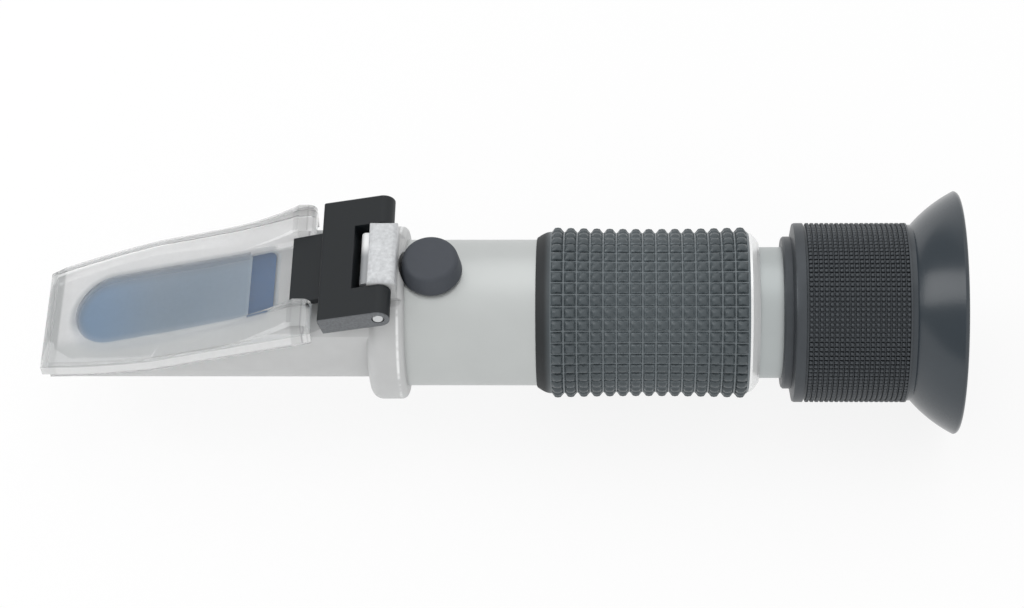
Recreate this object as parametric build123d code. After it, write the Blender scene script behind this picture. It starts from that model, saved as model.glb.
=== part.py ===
from build123d import *
import os
from math import cos, hypot, pi, radians, sin, sqrt, tan

os.makedirs("parts", exist_ok=True)

# Lengths along the optical axis, from the tip of the cover to the rim of the eyecup, in millimetres
prism_box_length = 56.9
collar_thickness = 6.3
bare_tube_length = 22.0
grip_length = 36.0
end_ring_length = 1.2
focus_gap = 4.4
focus_ring_length = 21.1
eyecup_length = 8.8

# Body tube and the clearances of what turns, slides or is glued in it
tube_radius = 12.5
tube_wall = 1.25
running_clearance = 0.05
glue_clearance = 0.05
cut_margin = 1.0

# Collar of the prism housing
collar_radius = 14.8
collar_front_round = 2.0
collar_rear_round = 1.2
spigot_length = 12.3
spigot_wall = 1.35

# Slanted prism box, a U section with upright sides and a round belly
box_radius = 11.0
box_crown_radius = 14.2
box_tip_half_width = 8.2
taper_length = 20.0
taper_fullness = 0.62
box_edge_round = 0.8
light_tunnel_radius = 6.5
slope_angle = 16.8
cover_face_height_at_collar = 15.28

# Measuring prism and its seal
prism_front_offset = 5.4
prism_to_collar_distance = 16.1
prism_half_width = 6.95
prism_rear_corner_round = 1.3
prism_floor_height = -6.4
prism_proud = 0.4
seal_width = 0.7
seal_depth = 1.2

# Daylight plate
plate_thickness = 1.1
plate_tip_half_width = 9.75
plate_half_width = 12.4
skirt_wall = 0.9
skirt_depth = 3.4
plate_overhang = 0.7
plate_to_collar_distance = 9.1
front_wall = 1.5
front_wall_gap = 0.25
front_bevel_length = 2.6
front_bevel_drop = 0.55
pad_half_width = 6.8
pad_front_offset = 5.6
bare_strip_length = 4.4
pad_to_prism_gap = 0.1
plate_depth_to_prism = 2.55
shoulder_length = 16.8
shoulder_crest_length = 3.0
shoulder_height = 14.45
shoulder_round = 1.4
shoulder_inner_gap = 0.25
tab_half_width = 6.0
tab_insertion = 3.0

# Hinge bracket, lug and pin
pin_from_collar_front = 2.5
pin_height = 15.75
pin_radius = 1.0
pin_end_chamfer = 0.2
bracket_angle = 13.5
bracket_half_width = 12.0
bracket_thickness = 3.9
crossbar_front_reach = 10.15
recess_reach = 4.3
recess_half_width = 6.4
tongue_half_width = 6.7
tongue_reach = 5.5
tongue_thickness = 1.1
bracket_edge_round = 0.5
lug_half_width = 6.2
lug_front_from_pin = 2.05
lug_rear_from_pin = 2.7
lug_top_height = 18.3
lug_round = 0.9
lug_step_half_width = 5.2
lug_step_reach = 1.4
lug_step_height = 16.3
relief_half_width = 8.0
relief_height = 12.8

# Calibration cap, bushing and captive screw
cap_base_radius = 5.2
cap_foot_radius = 4.3
cap_top_radius = 4.6
cap_top_height = 16.3
cap_edge_round = 0.9
cap_brim_rise = 0.4
cap_from_collar_rear = 4.45
cap_pocket_gap = 0.25
cap_saddle_gap = 0.15
bushing_radius = 3.2
bushing_top_height = 14.1
bushing_bottom_height = 9.7
bushing_floor = 1.0
cap_roof_gap = 0.2
screw_head_radius = 2.0
screw_head_height = 1.6
screw_slot_width = 0.6
screw_slot_depth = 0.7
screw_shank_radius = 1.25
screw_shank_end_height = 6.1

# Lens carriage, spring washer, bimetal strip and objective
carriage_length = 7.2
carriage_radius = 9.2
carriage_side_half_width = 8.2
carriage_top_height = 8.6
carriage_bottom_height = -8.0
carriage_bore_radius = 5.7
carriage_front_gap = 0.5
washer_radius = 3.0
washer_thickness = 0.2
washer_bow = 0.7
strip_half_width = 2.5
strip_thickness = 0.5
rivet_radius = 0.6
rivet_head_radius = 1.0
rivet_head_height = 0.35
rivet_depth = 1.2
rivet_edge_distance = 1.6
objective_gap = 5.0
objective_cell_length = 5.6
objective_cell_radius = 8.6
objective_shoulder = 1.2
objective_seat_radius = 6.5
objective_clear_radius = 5.7
objective_edge_thickness = 1.8
objective_bulge_height = 0.9
objective_retainer_length = 2.0

# Reticle and its holder
reticle_holder_length = 5.0
reticle_shoulder = 1.5
reticle_seat_radius = 9.5
reticle_clear_radius = 8.3
reticle_thickness = 1.5

# Rubber grip with studs
grip_radius = 14.6
grip_waist = 0.25
grip_lip_radius = 12.85
grip_lead_length = 2.45
grip_tail_length = 0.25
stud_columns = 15
stud_rows = 42
stud_height = 0.75
stud_flat = 0.75
row_groove_half_width = 0.72
row_groove_rise = 0.1
end_ring_front_radius = 13.6
end_ring_rear_radius = 12.75
end_ring_lip_radius = 12.0
end_ring_lip_length = 0.5
end_ring_to_eyepiece_gap = 0.3

# Eyepiece: guide sleeve, sliding barrel, turning tube
focus_travel = 2.0
eyepiece_tube_insertion = 10.4
eyepiece_tube_wall = 1.65
eyepiece_tube_recess = 1.9
eyepiece_lip_length = 1.5
eyepiece_lip_radius = 8.0
barrel_wall = 1.2
barrel_end_gap = 0.1
barrel_stop_radius = 7.4
circlip_thickness = 0.7
circlip_gap = 0.3
circlip_groove_depth = 0.4
circlip_height = 1.0
circlip_opening = 4.0
guide_sleeve_length = 6.0
guide_sleeve_clearance = 0.3
stop_clearance = 0.5
guide_pin_radius = 0.9
guide_pin_recess = 0.35
barrel_front_reach = 1.8
reticle_to_barrel_gap = 0.7
eye_retainer_recess = 2.0
eye_retainer_length = 2.2
eye_lens_edge_thickness = 3.0
eye_lens_bulge_height = 1.1
field_lens_edge_thickness = 2.6
field_lens_bulge_height = 1.0
lens_spacer_length = 16.0
lens_spacer_wall = 0.9

# Focus ring
ring_radius = 15.3
ring_nose_radius = 13.0
ring_nose_length = 1.5
ring_nose_chamfer = 0.4
ring_shoulder_length = 0.55
ring_band_length = 1.6
ring_groove_length = 0.3
ring_groove_depth = 0.45
knurl_pitch = 0.85
knurl_depth = 0.35
knurl_count = 20
ring_spigot_radius = 12.6
ring_spigot_length = 3.0
sight_bore_radius = 9.0

# Eyecup
eyecup_neck_radius = 15.0
eyecup_neck_length = 0.9
eyecup_rim_radius = 20.7
eyecup_bulge_height = 0.55
eyecup_rim_thickness = 1.4
eyecup_lip_thickness = 1.0
eyecup_aperture_radius = 9.4
eyecup_floor_radius = 15.3

# Stations along the axis, with the middle of the whole length at zero
total_length = (
    prism_box_length + collar_thickness + bare_tube_length + grip_length
    + end_ring_length + focus_gap + focus_ring_length + eyecup_length
)
tip_x = -total_length / 2
collar_front_x = tip_x + prism_box_length
collar_rear_x = collar_front_x + collar_thickness
grip_front_x = collar_rear_x + bare_tube_length
grip_rear_x = grip_front_x + grip_length
tube_end_x = grip_rear_x + end_ring_length
ring_front_x = tube_end_x + focus_gap
ring_rear_x = ring_front_x + focus_ring_length
rim_x = ring_rear_x + eyecup_length
prism_rear_x = collar_front_x - prism_to_collar_distance
plate_rear_x = collar_front_x - plate_to_collar_distance
tab_end_x = plate_rear_x + tab_insertion
pin_x = collar_front_x + pin_from_collar_front
cap_x = collar_rear_x + cap_from_collar_rear

# Radii that follow from the tube, one inside the other
tube_bore_radius = tube_radius - tube_wall
eyepiece_tube_radius = tube_bore_radius - running_clearance
eyepiece_bore_radius = eyepiece_tube_radius - eyepiece_tube_wall
barrel_radius = eyepiece_bore_radius - running_clearance
barrel_bore_radius = barrel_radius - barrel_wall
eyepiece_lens_radius = barrel_bore_radius - glue_clearance
spigot_bore_radius = tube_bore_radius - spigot_wall

# Stations inside the tube, worked out forwards from the tube's end
eyepiece_front_x = tube_end_x - eyepiece_tube_insertion
eyepiece_rear_x = ring_rear_x - eyepiece_tube_recess
circlip_front_x = eyepiece_front_x - circlip_gap - circlip_thickness
sleeve_rear_x = circlip_front_x - focus_travel - stop_clearance
sleeve_front_x = sleeve_rear_x - guide_sleeve_length
guide_pin_x = (sleeve_front_x + sleeve_rear_x) / 2
barrel_front_x = guide_pin_x - barrel_front_reach
barrel_rear_x = eyepiece_rear_x - eyepiece_lip_length - barrel_end_gap
holder_rear_x = barrel_front_x - focus_travel - reticle_to_barrel_gap
holder_front_x = holder_rear_x - reticle_holder_length
reticle_front_x = holder_front_x + reticle_shoulder
carriage_front_x = cap_x - carriage_length / 2
carriage_rear_x = cap_x + carriage_length / 2
cell_front_x = carriage_rear_x + objective_gap
cell_rear_x = cell_front_x + objective_cell_length

slope = tan(radians(slope_angle))


def cover_face_z(x):
    """Height of the cover's flat top face at a station."""
    return cover_face_height_at_collar + (x - collar_front_x) * slope


def prism_face_z(x):
    """Height of the measuring face of the prism at a station."""
    return cover_face_z(x) - plate_depth_to_prism


def disc(radius, start, end):
    """Round bar on the optical axis."""
    return extrude(Plane.YZ.offset(start) * Circle(radius), amount=end - start)


def ring(outer, inner, start, end):
    """Round tube on the optical axis."""
    return disc(outer, start, end) - disc(inner, start, end)


def post(radius, x, bottom, top):
    """Upright round bar at a station."""
    return extrude(Plane.XY.offset(bottom) * Pos(x, 0) * Circle(radius), amount=top - bottom)


def side_prism(points, half_width):
    """Side outline of (x, z) points, carried across the width."""
    face = make_face(Polyline(*[(x, 0, z) for x, z in points], close=True))
    return extrude(face, amount=half_width, both=True)


def upright_block(start, end, bottom, top, half_width):
    """Square block between two stations and two heights."""
    return side_prism([(start, bottom), (end, bottom), (end, top), (start, top)], half_width)


def turned(points):
    """Outline of (x, radius) points turned about the optical axis."""
    face = make_face(Polyline(*[(x, 0, r) for x, r in points], close=True))
    return revolve(face, axis=Axis.X)


def below_slope(depth, start, end, half_width):
    """Block from under the collar up to a plane at a depth under the cover's face."""
    points = [
        (start, -collar_radius),
        (end, -collar_radius),
        (end, cover_face_z(end) - depth),
        (start, cover_face_z(start) - depth),
    ]
    return side_prism(points, half_width)


def slope_layer(start, end, half_width, upper, lower):
    """Plate parallel to the cover's face between two depths under it."""
    points = [
        (start, cover_face_z(start) - lower),
        (end, cover_face_z(end) - lower),
        (end, cover_face_z(end) - upper),
        (start, cover_face_z(start) - upper),
    ]
    return side_prism(points, half_width)


def tapered_plan(start, end, tip_half, full_half, taper, reach):
    """Plan outline that widens from the tip and then runs straight, as an upright block."""
    knee = start + taper
    middle = start + taper / 2
    middle_half = tip_half + (full_half - tip_half) * taper_fullness
    outline = [
        ThreePointArc((start, tip_half), (middle, middle_half), (knee, full_half)),
        Polyline((knee, full_half), (end, full_half), (end, -full_half), (knee, -full_half)),
        ThreePointArc((knee, -full_half), (middle, -middle_half), (start, -tip_half)),
        Line((start, -tip_half), (start, tip_half)),
    ]
    return extrude(make_face(outline), amount=reach, both=True)


def pill_plan(start, end, half, reach):
    """Plan outline with a round front end and a square rear end, as an upright block."""
    centre = start + half
    outline = [
        Polyline((centre, half), (end, half), (end, -half), (centre, -half)),
        ThreePointArc((centre, -half), (start, 0), (centre, half)),
    ]
    return extrude(make_face(outline), amount=reach, both=True)


def lens(front, edge_thickness, radius, clear_radius, bulge):
    """Lens with two bulging faces inside a flat rim, its edge starting at a station."""
    ball = (clear_radius * clear_radius + bulge * bulge) / (2 * bulge)
    half = clear_radius / 2
    mid_bulge = bulge - (ball - sqrt(ball * ball - half * half))
    rear = front + edge_thickness
    outline = [
        ThreePointArc((front - bulge, 0, 0), (front - mid_bulge, 0, half), (front, 0, clear_radius)),
        Line((front, 0, clear_radius), (front, 0, radius)),
        Line((front, 0, radius), (rear, 0, radius)),
        Line((rear, 0, radius), (rear, 0, clear_radius)),
        ThreePointArc((rear, 0, clear_radius), (rear + mid_bulge, 0, half), (rear + bulge, 0, 0)),
        Line((rear + bulge, 0, 0), (front - bulge, 0, 0)),
    ]
    return revolve(make_face(outline), axis=Axis.X)


def prism_box():
    """Slanted box with a round belly, tapered to the tip and closed in under the collar's edge."""
    start = tip_x + plate_overhang
    end = collar_front_x + collar_front_round
    belly = Circle(box_radius)
    walls = Pos(0, collar_radius / 2) * Rectangle(2 * box_radius, collar_radius)
    body = extrude(Plane.YZ.offset(start) * (belly + walls), amount=end - start)
    body &= tapered_plan(start, end, box_tip_half_width, box_radius, taper_length, collar_radius)
    body &= disc(box_crown_radius, start, end)
    body &= below_slope(plate_depth_to_prism + prism_proud, start, end, collar_radius)
    front_edges = body.edges().group_by(Axis.X)[0]
    front_top = cover_face_z(start) - plate_depth_to_prism - prism_proud
    upright_side = front_top + sqrt(box_radius * box_radius - box_tip_half_width * box_tip_half_width)
    return fillet(front_edges, min(box_edge_round, upright_side / 3))


def collar():
    """Turned collar with a large front round and a small rear one."""
    body = disc(collar_radius, collar_front_x, collar_rear_x)
    body = fillet(body.edges().filter_by(GeomType.CIRCLE).sort_by(Axis.X)[-1], collar_rear_round)
    body = fillet(body.edges().filter_by(GeomType.CIRCLE).sort_by(Axis.X)[0], collar_front_round)
    relief = upright_block(collar_front_x, collar_rear_x, relief_height, collar_radius, relief_half_width)
    relief -= upright_block(collar_front_x, collar_rear_x, relief_height, collar_radius, lug_half_width)
    body -= relief
    return body - post(cap_base_radius + cap_pocket_gap, cap_x, tube_bore_radius, collar_radius)


def hinge_lug():
    """Upright lug on the collar with a lower step in front."""
    front = pin_x - lug_front_from_pin
    rear = pin_x + lug_rear_from_pin
    block = upright_block(front, rear, tube_bore_radius, lug_top_height, lug_half_width)
    block = fillet(block.edges().group_by(Axis.Z)[-1], lug_round)
    step_front = front - lug_step_reach
    step_root = prism_face_z(step_front) - prism_proud - cut_margin
    step = upright_block(step_front, pin_x, step_root, lug_step_height, lug_step_half_width)
    step = fillet(step.edges().group_by(Axis.Z)[-1].sort_by(Axis.X)[0], lug_round)
    return block + step


def prism_pocket(clearance):
    """Space that the prism takes, grown by a clearance."""
    front = tip_x + prism_front_offset - clearance
    rear = prism_rear_x + clearance
    pocket = pill_plan(front, rear, prism_half_width + clearance, collar_radius)
    rear_corners = pocket.edges().filter_by(Axis.Z).group_by(Axis.X)[-1]
    pocket = fillet(rear_corners, prism_rear_corner_round + clearance)
    points = [
        (front, prism_floor_height),
        (rear, prism_floor_height),
        (rear, prism_face_z(rear)),
        (front, prism_face_z(front)),
    ]
    return pocket & side_prism(points, prism_half_width + clearance)


def seal_layer(upper):
    """Layer parallel to the cover's face that ends at the bottom of the seal."""
    bottom = plate_depth_to_prism + prism_proud + seal_depth
    return slope_layer(tip_x, collar_front_x, collar_radius, upper, bottom)


def pin_bar(radius, half_length):
    """Bar along the hinge axis."""
    start = Plane.XZ.offset(-half_length)
    return extrude(start * Pos(pin_x, pin_height) * Circle(radius), amount=2 * half_length)


def prism_housing():
    """One casting: box, collar, lug and the spigot that enters the tube."""
    spigot_end = collar_rear_x + spigot_length
    body = prism_box() + collar() + hinge_lug()
    body += disc(tube_bore_radius, collar_front_x + collar_front_round, spigot_end)
    body -= prism_pocket(glue_clearance)
    body -= prism_pocket(seal_width) & seal_layer(0)
    body -= disc(light_tunnel_radius, prism_rear_x, collar_rear_x)
    carriage_space_start = carriage_front_x - carriage_front_gap
    body -= disc(spigot_bore_radius, carriage_space_start, spigot_end)
    body -= post(bushing_radius, cap_x, 0, collar_radius)
    body -= pin_bar(pin_radius, lug_half_width)
    return body


def measuring_prism():
    """Wedge of glass whose sloping face takes the drop of coolant."""
    return prism_pocket(0)


def prism_seal():
    """Soft frame between the glass and its pocket, flush with the box."""
    frame = prism_pocket(seal_width) - prism_pocket(0)
    return frame & seal_layer(plate_depth_to_prism + prism_proud)


def plate_shoulder(side):
    """Raised crest on one side of the plate's rear end, beside the bracket."""
    rise = plate_rear_x - shoulder_length
    crest = plate_rear_x - shoulder_crest_length
    inner = tongue_half_width + shoulder_inner_gap
    outer = plate_half_width
    rise_z = cover_face_z(rise)
    bottom = cover_face_z(rise) - plate_thickness
    outline = [
        TangentArc((rise, 0, rise_z), (crest, 0, shoulder_height), tangent=(1, 0, slope)),
        Line((crest, 0, shoulder_height), (plate_rear_x, 0, shoulder_height)),
        Line((plate_rear_x, 0, shoulder_height), (plate_rear_x, 0, bottom)),
        Line((plate_rear_x, 0, bottom), (rise, 0, bottom)),
        Line((rise, 0, bottom), (rise, 0, rise_z)),
    ]
    block = extrude(make_face(outline), amount=(outer - inner) / 2, both=True)
    block = Pos(0, side * (outer + inner) / 2, 0) * block
    rear_top = block.edges().filter_by(Axis.Y).group_by(Axis.X)[-1].sort_by(Axis.Z)[-1]
    block = fillet(rear_top, shoulder_round)
    return block - below_slope(plate_thickness, rise - cut_margin, plate_rear_x + cut_margin, 2 * outer)


def daylight_plate():
    """Clear cover with skirts, a front bevel, rear shoulders, a frosted pad and the tab for the bracket."""
    reach = 2 * collar_radius
    before_tip = tip_x - cut_margin
    behind_rear = plate_rear_x + cut_margin
    front = tip_x + front_wall
    inner_tip = plate_tip_half_width - skirt_wall
    inner_half = plate_half_width - skirt_wall
    outer = tapered_plan(tip_x, plate_rear_x, plate_tip_half_width, plate_half_width, taper_length, reach)
    inner = tapered_plan(front, behind_rear, inner_tip, inner_half, taper_length, reach)
    shell = outer & slope_layer(tip_x, plate_rear_x, plate_half_width, 0, skirt_depth)
    shell -= inner & slope_layer(tip_x, behind_rear, plate_half_width, plate_thickness, 2 * skirt_depth)
    box_top = plate_depth_to_prism + prism_proud - front_wall_gap
    shell -= slope_layer(before_tip, front, plate_half_width, box_top, 2 * skirt_depth)
    bevel_end = tip_x + front_bevel_length
    above = cover_face_z(bevel_end) + cut_margin
    bevel = [
        (before_tip, cover_face_z(before_tip) - front_bevel_drop),
        (tip_x, cover_face_z(tip_x) - front_bevel_drop),
        (bevel_end, cover_face_z(bevel_end)),
        (bevel_end, above),
        (before_tip, above),
    ]
    shell -= side_prism(bevel, plate_half_width)
    for side in (-1, 1):
        shell += plate_shoulder(side)
    pad_bottom = plate_depth_to_prism - pad_to_prism_gap
    pad = pill_plan(tip_x + pad_front_offset, prism_rear_x - bare_strip_length, pad_half_width, reach)
    pad &= slope_layer(tip_x, plate_rear_x, plate_half_width, plate_thickness / 2, pad_bottom)
    tab = slope_layer(plate_rear_x - skirt_wall, tab_end_x, tab_half_width, 0, plate_thickness)
    return shell + pad + tab


def bracket_point(forward, upward):
    """Point of the bracket's side view, measured forwards and upwards from the pin."""
    lean = radians(bracket_angle)
    x = pin_x - forward * cos(lean) - upward * sin(lean)
    z = pin_height - forward * sin(lean) + upward * cos(lean)
    return (x, z)


def bracket_block(start, end, half_width, half_thickness):
    """Block that leans with the bracket."""
    corners = [
        bracket_point(start, -half_thickness),
        bracket_point(end, -half_thickness),
        bracket_point(end, half_thickness),
        bracket_point(start, half_thickness),
    ]
    return side_prism(corners, half_width)


def hinge_bracket():
    """Black fork: two arms round the pin, a crossbar and a flat tongue on the plate."""
    half = bracket_thickness / 2
    body = bracket_block(0, crossbar_front_reach, bracket_half_width, half)
    body = fillet(body.edges().filter_by(Axis.Y).group_by(Axis.X)[0], bracket_edge_round)
    body += pin_bar(half, bracket_half_width)
    body -= bracket_block(-bracket_thickness, recess_reach, recess_half_width, bracket_thickness)
    crossbar_x = bracket_point(crossbar_front_reach, 0)[0]
    tongue_start = crossbar_x - tongue_reach
    tongue_end = crossbar_x + cut_margin
    body += slope_layer(tongue_start, tongue_end, tongue_half_width, -tongue_thickness, 0)
    body -= slope_layer(tongue_start - cut_margin, tab_end_x, tab_half_width, 0, plate_thickness)
    return body - pin_bar(pin_radius + running_clearance, bracket_half_width)


def hinge_pin():
    """Steel pin, pressed in the lug and running in the bracket's arms."""
    body = pin_bar(pin_radius, bracket_half_width)
    return chamfer(body.edges().filter_by(GeomType.CIRCLE), pin_end_chamfer)


def body_tube():
    """Bare aluminium tube with the hole for the screw bushing."""
    body = ring(tube_radius, tube_bore_radius, collar_rear_x, tube_end_x)
    return body - post(bushing_radius, cap_x, 0, collar_radius)


def screw_bushing():
    """Bushing in the tube's wall that holds the captive screw."""
    body = post(bushing_radius, cap_x, bushing_bottom_height, bushing_top_height)
    body -= post(screw_shank_radius + running_clearance, cap_x, bushing_bottom_height, bushing_top_height)
    head_seat = bushing_bottom_height + bushing_floor
    return body - post(screw_head_radius + 2 * running_clearance, cap_x, head_seat, bushing_top_height)


def calibration_screw():
    """Slotted captive screw whose shank reaches into the lens carriage."""
    seat = bushing_bottom_height + bushing_floor + running_clearance
    body = post(screw_shank_radius, cap_x, screw_shank_end_height, seat + screw_head_height / 2)
    body += post(screw_head_radius, cap_x, seat, seat + screw_head_height)
    slot = Pos(cap_x, 0, seat + screw_head_height - screw_slot_depth / 2)
    return body - slot * Box(3 * screw_head_radius, screw_slot_width, screw_slot_depth)


def calibration_cap():
    """Round rubber cap that sits on the tube and over the bushing."""
    bottom = tube_bore_radius
    outline = [
        (0, 0, bottom),
        (cap_foot_radius, 0, bottom),
        (cap_base_radius, 0, tube_radius + cap_brim_rise),
        (cap_top_radius, 0, cap_top_height),
        (0, 0, cap_top_height),
    ]
    body = revolve(make_face(Polyline(*outline, close=True)), axis=Axis.Z)
    body = fillet(body.edges().group_by(Axis.Z)[-1], cap_edge_round)
    body = Pos(cap_x, 0, 0) * body
    body -= disc(tube_radius + cap_saddle_gap, collar_rear_x - cap_base_radius, grip_front_x)
    return body - post(bushing_radius + 2 * running_clearance, cap_x, 0, bushing_top_height + cap_roof_gap)


def lens_carriage():
    """Threaded block that the captive screw lifts and lowers."""
    body = disc(carriage_radius, carriage_front_x, carriage_rear_x)
    height = carriage_top_height - carriage_bottom_height
    middle = Pos(cap_x, 0, (carriage_top_height + carriage_bottom_height) / 2)
    body &= middle * Box(carriage_length, 2 * carriage_side_half_width, height)
    body -= disc(carriage_bore_radius, carriage_front_x, carriage_rear_x)
    body -= post(screw_shank_radius + running_clearance, cap_x, 0, carriage_radius)
    return body - rivet_posts(carriage_rivet_x(), rivet_radius)


def backlash_washer():
    """Bowed spring washer that presses the carriage away from the bushing."""
    reach = washer_radius
    bow_radius = (reach * reach + washer_bow * washer_bow) / (2 * washer_bow)
    crest = carriage_top_height + running_clearance + washer_bow + washer_thickness
    centre_z = crest - bow_radius - washer_thickness
    outer = Circle(bow_radius + washer_thickness) - Circle(bow_radius)
    sheet = extrude(Plane.XZ * Pos(cap_x, centre_z) * outer, amount=washer_radius, both=True)
    sheet &= post(washer_radius, cap_x, carriage_top_height, crest + cut_margin)
    return sheet - post(screw_shank_radius + 2 * running_clearance, cap_x, 0, crest + cut_margin)


def carriage_rivet_x():
    """Station of the rivets that hold the strip to the carriage."""
    return carriage_rear_x - rivet_edge_distance


def cell_rivet_x():
    """Station of the rivets that hold the strip to the objective cell."""
    return cell_front_x + rivet_edge_distance


def rivet_posts(x, radius):
    """Two upright holes or shanks side by side under a piece."""
    bottom = carriage_bottom_height - strip_thickness
    top = carriage_bottom_height + rivet_depth
    spread = strip_half_width / 2
    pair = Pos(0, spread, 0) * post(radius, x, bottom, top)
    return pair + Pos(0, -spread, 0) * post(radius, x, bottom, top)


def bimetal_strip():
    """Thin strip that carries the objective behind the carriage and bends with temperature."""
    start = carriage_front_x + rivet_edge_distance
    end = cell_rear_x - rivet_edge_distance
    middle = Pos((start + end) / 2, 0, carriage_bottom_height - strip_thickness / 2)
    body = middle * Box(end - start, 2 * strip_half_width, strip_thickness)
    body -= rivet_posts(carriage_rivet_x(), rivet_radius)
    return body - rivet_posts(cell_rivet_x(), rivet_radius)


def strip_rivets():
    """Four rivets under the strip, two at each end."""
    spread = strip_half_width / 2
    under = carriage_bottom_height - strip_thickness
    solids = []
    for x in (carriage_rivet_x(), cell_rivet_x()):
        for side in (-spread, spread):
            shank = post(rivet_radius, x, under, carriage_bottom_height + rivet_depth)
            head = post(rivet_head_radius, x, under - rivet_head_height, under)
            solids.append(Pos(0, side, 0) * (shank + head))
    return Compound(children=solids)


def objective_cell():
    """Ring that holds the objective, flat where the strip meets it."""
    body = disc(objective_cell_radius, cell_front_x, cell_rear_x)
    flat = Pos((cell_front_x + cell_rear_x) / 2, 0, carriage_bottom_height - objective_cell_radius)
    body -= flat * Box(objective_cell_length, 2 * objective_cell_radius, 2 * objective_cell_radius)
    body -= disc(objective_clear_radius, cell_front_x, cell_rear_x)
    body -= disc(objective_seat_radius, cell_front_x + objective_shoulder, cell_rear_x)
    return body - rivet_posts(cell_rivet_x(), rivet_radius)


def objective_lens():
    """Lens that throws the shadow line on the reticle."""
    front = cell_front_x + objective_shoulder
    outer = objective_seat_radius - glue_clearance
    clear = objective_clear_radius - glue_clearance
    return lens(front, objective_edge_thickness, outer, clear, objective_bulge_height)


def objective_retainer():
    """Ring that holds the objective against its shoulder."""
    front = cell_front_x + objective_shoulder + objective_edge_thickness
    outer = objective_seat_radius - glue_clearance
    return ring(outer, objective_clear_radius, front, front + objective_retainer_length)


def reticle_holder():
    """Ring fixed in the tube in front of the eyepiece."""
    body = ring(tube_bore_radius, reticle_clear_radius, holder_front_x, holder_rear_x)
    return body - disc(reticle_seat_radius, reticle_front_x, holder_rear_x)


def reticle():
    """Glass disc that carries the scale."""
    return disc(reticle_seat_radius - glue_clearance, reticle_front_x, reticle_front_x + reticle_thickness)


def reticle_retainer():
    """Ring behind the scale glass."""
    outer = reticle_seat_radius - glue_clearance
    return ring(outer, reticle_clear_radius, reticle_front_x + reticle_thickness, holder_rear_x)


def grip_profile():
    """Outline of the rubber sleeve with one tooth for each ring of studs."""
    pitch = (grip_length - grip_lead_length - grip_tail_length) / stud_columns
    first = grip_front_x + grip_lead_length
    points = [(grip_front_x, tube_radius), (grip_front_x, grip_lip_radius)]
    for column in range(stud_columns):
        middle = first + (column + 0.5) * pitch
        across = 2 * column / (stud_columns - 1) - 1
        crest = grip_radius - grip_waist * (1 - across * across)
        root = crest - stud_height
        points.append((middle - pitch / 2, root))
        points.append((middle - stud_flat / 2, crest))
        points.append((middle + stud_flat / 2, crest))
    last_root = grip_radius - stud_height
    points.append((grip_rear_x - grip_tail_length, last_root))
    points.append((grip_rear_x, last_root))
    points.append((grip_rear_x, tube_radius))
    return points


def rubber_grip():
    """Rubber sleeve whose crossing grooves leave rows of pyramid studs."""
    body = turned(grip_profile())
    groove_root = grip_radius - grip_waist - stud_height + row_groove_rise
    groove_top = grip_radius + cut_margin
    spread = row_groove_half_width * (groove_top - groove_root) / (grip_radius - groove_root)
    outline = [(0, groove_root), (spread, groove_top), (-spread, groove_top)]
    face = make_face(Polyline(*[(grip_front_x, y, z) for y, z in outline], close=True))
    groove = extrude(face, amount=grip_length, dir=(1, 0, 0))
    step = 360 / stud_rows
    grooves = [Rot(row * step, 0, 0) * groove for row in range(stud_rows)]
    return body - grooves


def grip_end_ring():
    """Bright ring that closes the rear end of the grip and of the tube."""
    lip_end = tube_end_x + end_ring_lip_length
    lip_bore = eyepiece_tube_radius + end_ring_to_eyepiece_gap
    return turned(
        [
            (grip_rear_x, tube_radius),
            (grip_rear_x, end_ring_front_radius),
            (grip_rear_x + end_ring_length / 3, end_ring_front_radius),
            (tube_end_x, end_ring_rear_radius),
            (lip_end, end_ring_lip_radius),
            (lip_end, lip_bore),
            (tube_end_x, lip_bore),
            (tube_end_x, tube_radius),
        ]
    )


def guide_sleeve():
    """Sleeve fixed in the tube, with the straight slot that stops the barrel from turning."""
    inner = barrel_radius + guide_sleeve_clearance
    body = ring(tube_bore_radius, inner, sleeve_front_x, sleeve_rear_x)
    slot = Pos(guide_pin_x, 0, -(tube_bore_radius + inner) / 2)
    width = 2 * (guide_pin_radius + running_clearance)
    return body - slot * Box(guide_sleeve_length, width, 2 * (tube_bore_radius - inner))


def barrel_pin(bottom):
    """Upright bar under the barrel at the guide slot."""
    return post(guide_pin_radius, guide_pin_x, -bottom, -barrel_bore_radius - guide_pin_recess)


def guide_pin():
    """Pin that follows the straight slot."""
    return barrel_pin(tube_bore_radius - guide_pin_recess)


def lens_barrel():
    """Tube with the eyepiece lenses, which slides without turning."""
    body = ring(barrel_radius, barrel_stop_radius, barrel_front_x, barrel_rear_x)
    body -= disc(barrel_bore_radius, field_lens_front(), barrel_rear_x)
    groove_end = circlip_front_x + circlip_thickness
    body -= ring(barrel_radius, barrel_radius - circlip_groove_depth, circlip_front_x, groove_end)
    return body - barrel_pin(tube_bore_radius)


def barrel_circlip():
    """Open ring in the barrel's groove that carries the turning tube along."""
    inner = barrel_radius - circlip_groove_depth
    end = circlip_front_x + circlip_thickness
    body = ring(inner + circlip_height, inner, circlip_front_x, end)
    gap = Pos((circlip_front_x + end) / 2, 0, inner + circlip_height / 2)
    return body - gap * Box(circlip_thickness, circlip_opening, 3 * circlip_height)


def eye_lens_front():
    """Station of the eye lens's front edge."""
    return barrel_rear_x - eye_retainer_recess - eye_retainer_length - eye_lens_edge_thickness


def field_lens_front():
    """Station of the field lens's front edge."""
    return eye_lens_front() - lens_spacer_length - field_lens_edge_thickness


def field_lens():
    """First lens of the eyepiece."""
    front = field_lens_front()
    clear = min(barrel_stop_radius, eyepiece_lens_radius - lens_spacer_wall) - glue_clearance
    return lens(front, field_lens_edge_thickness, eyepiece_lens_radius, clear, field_lens_bulge_height)


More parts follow.
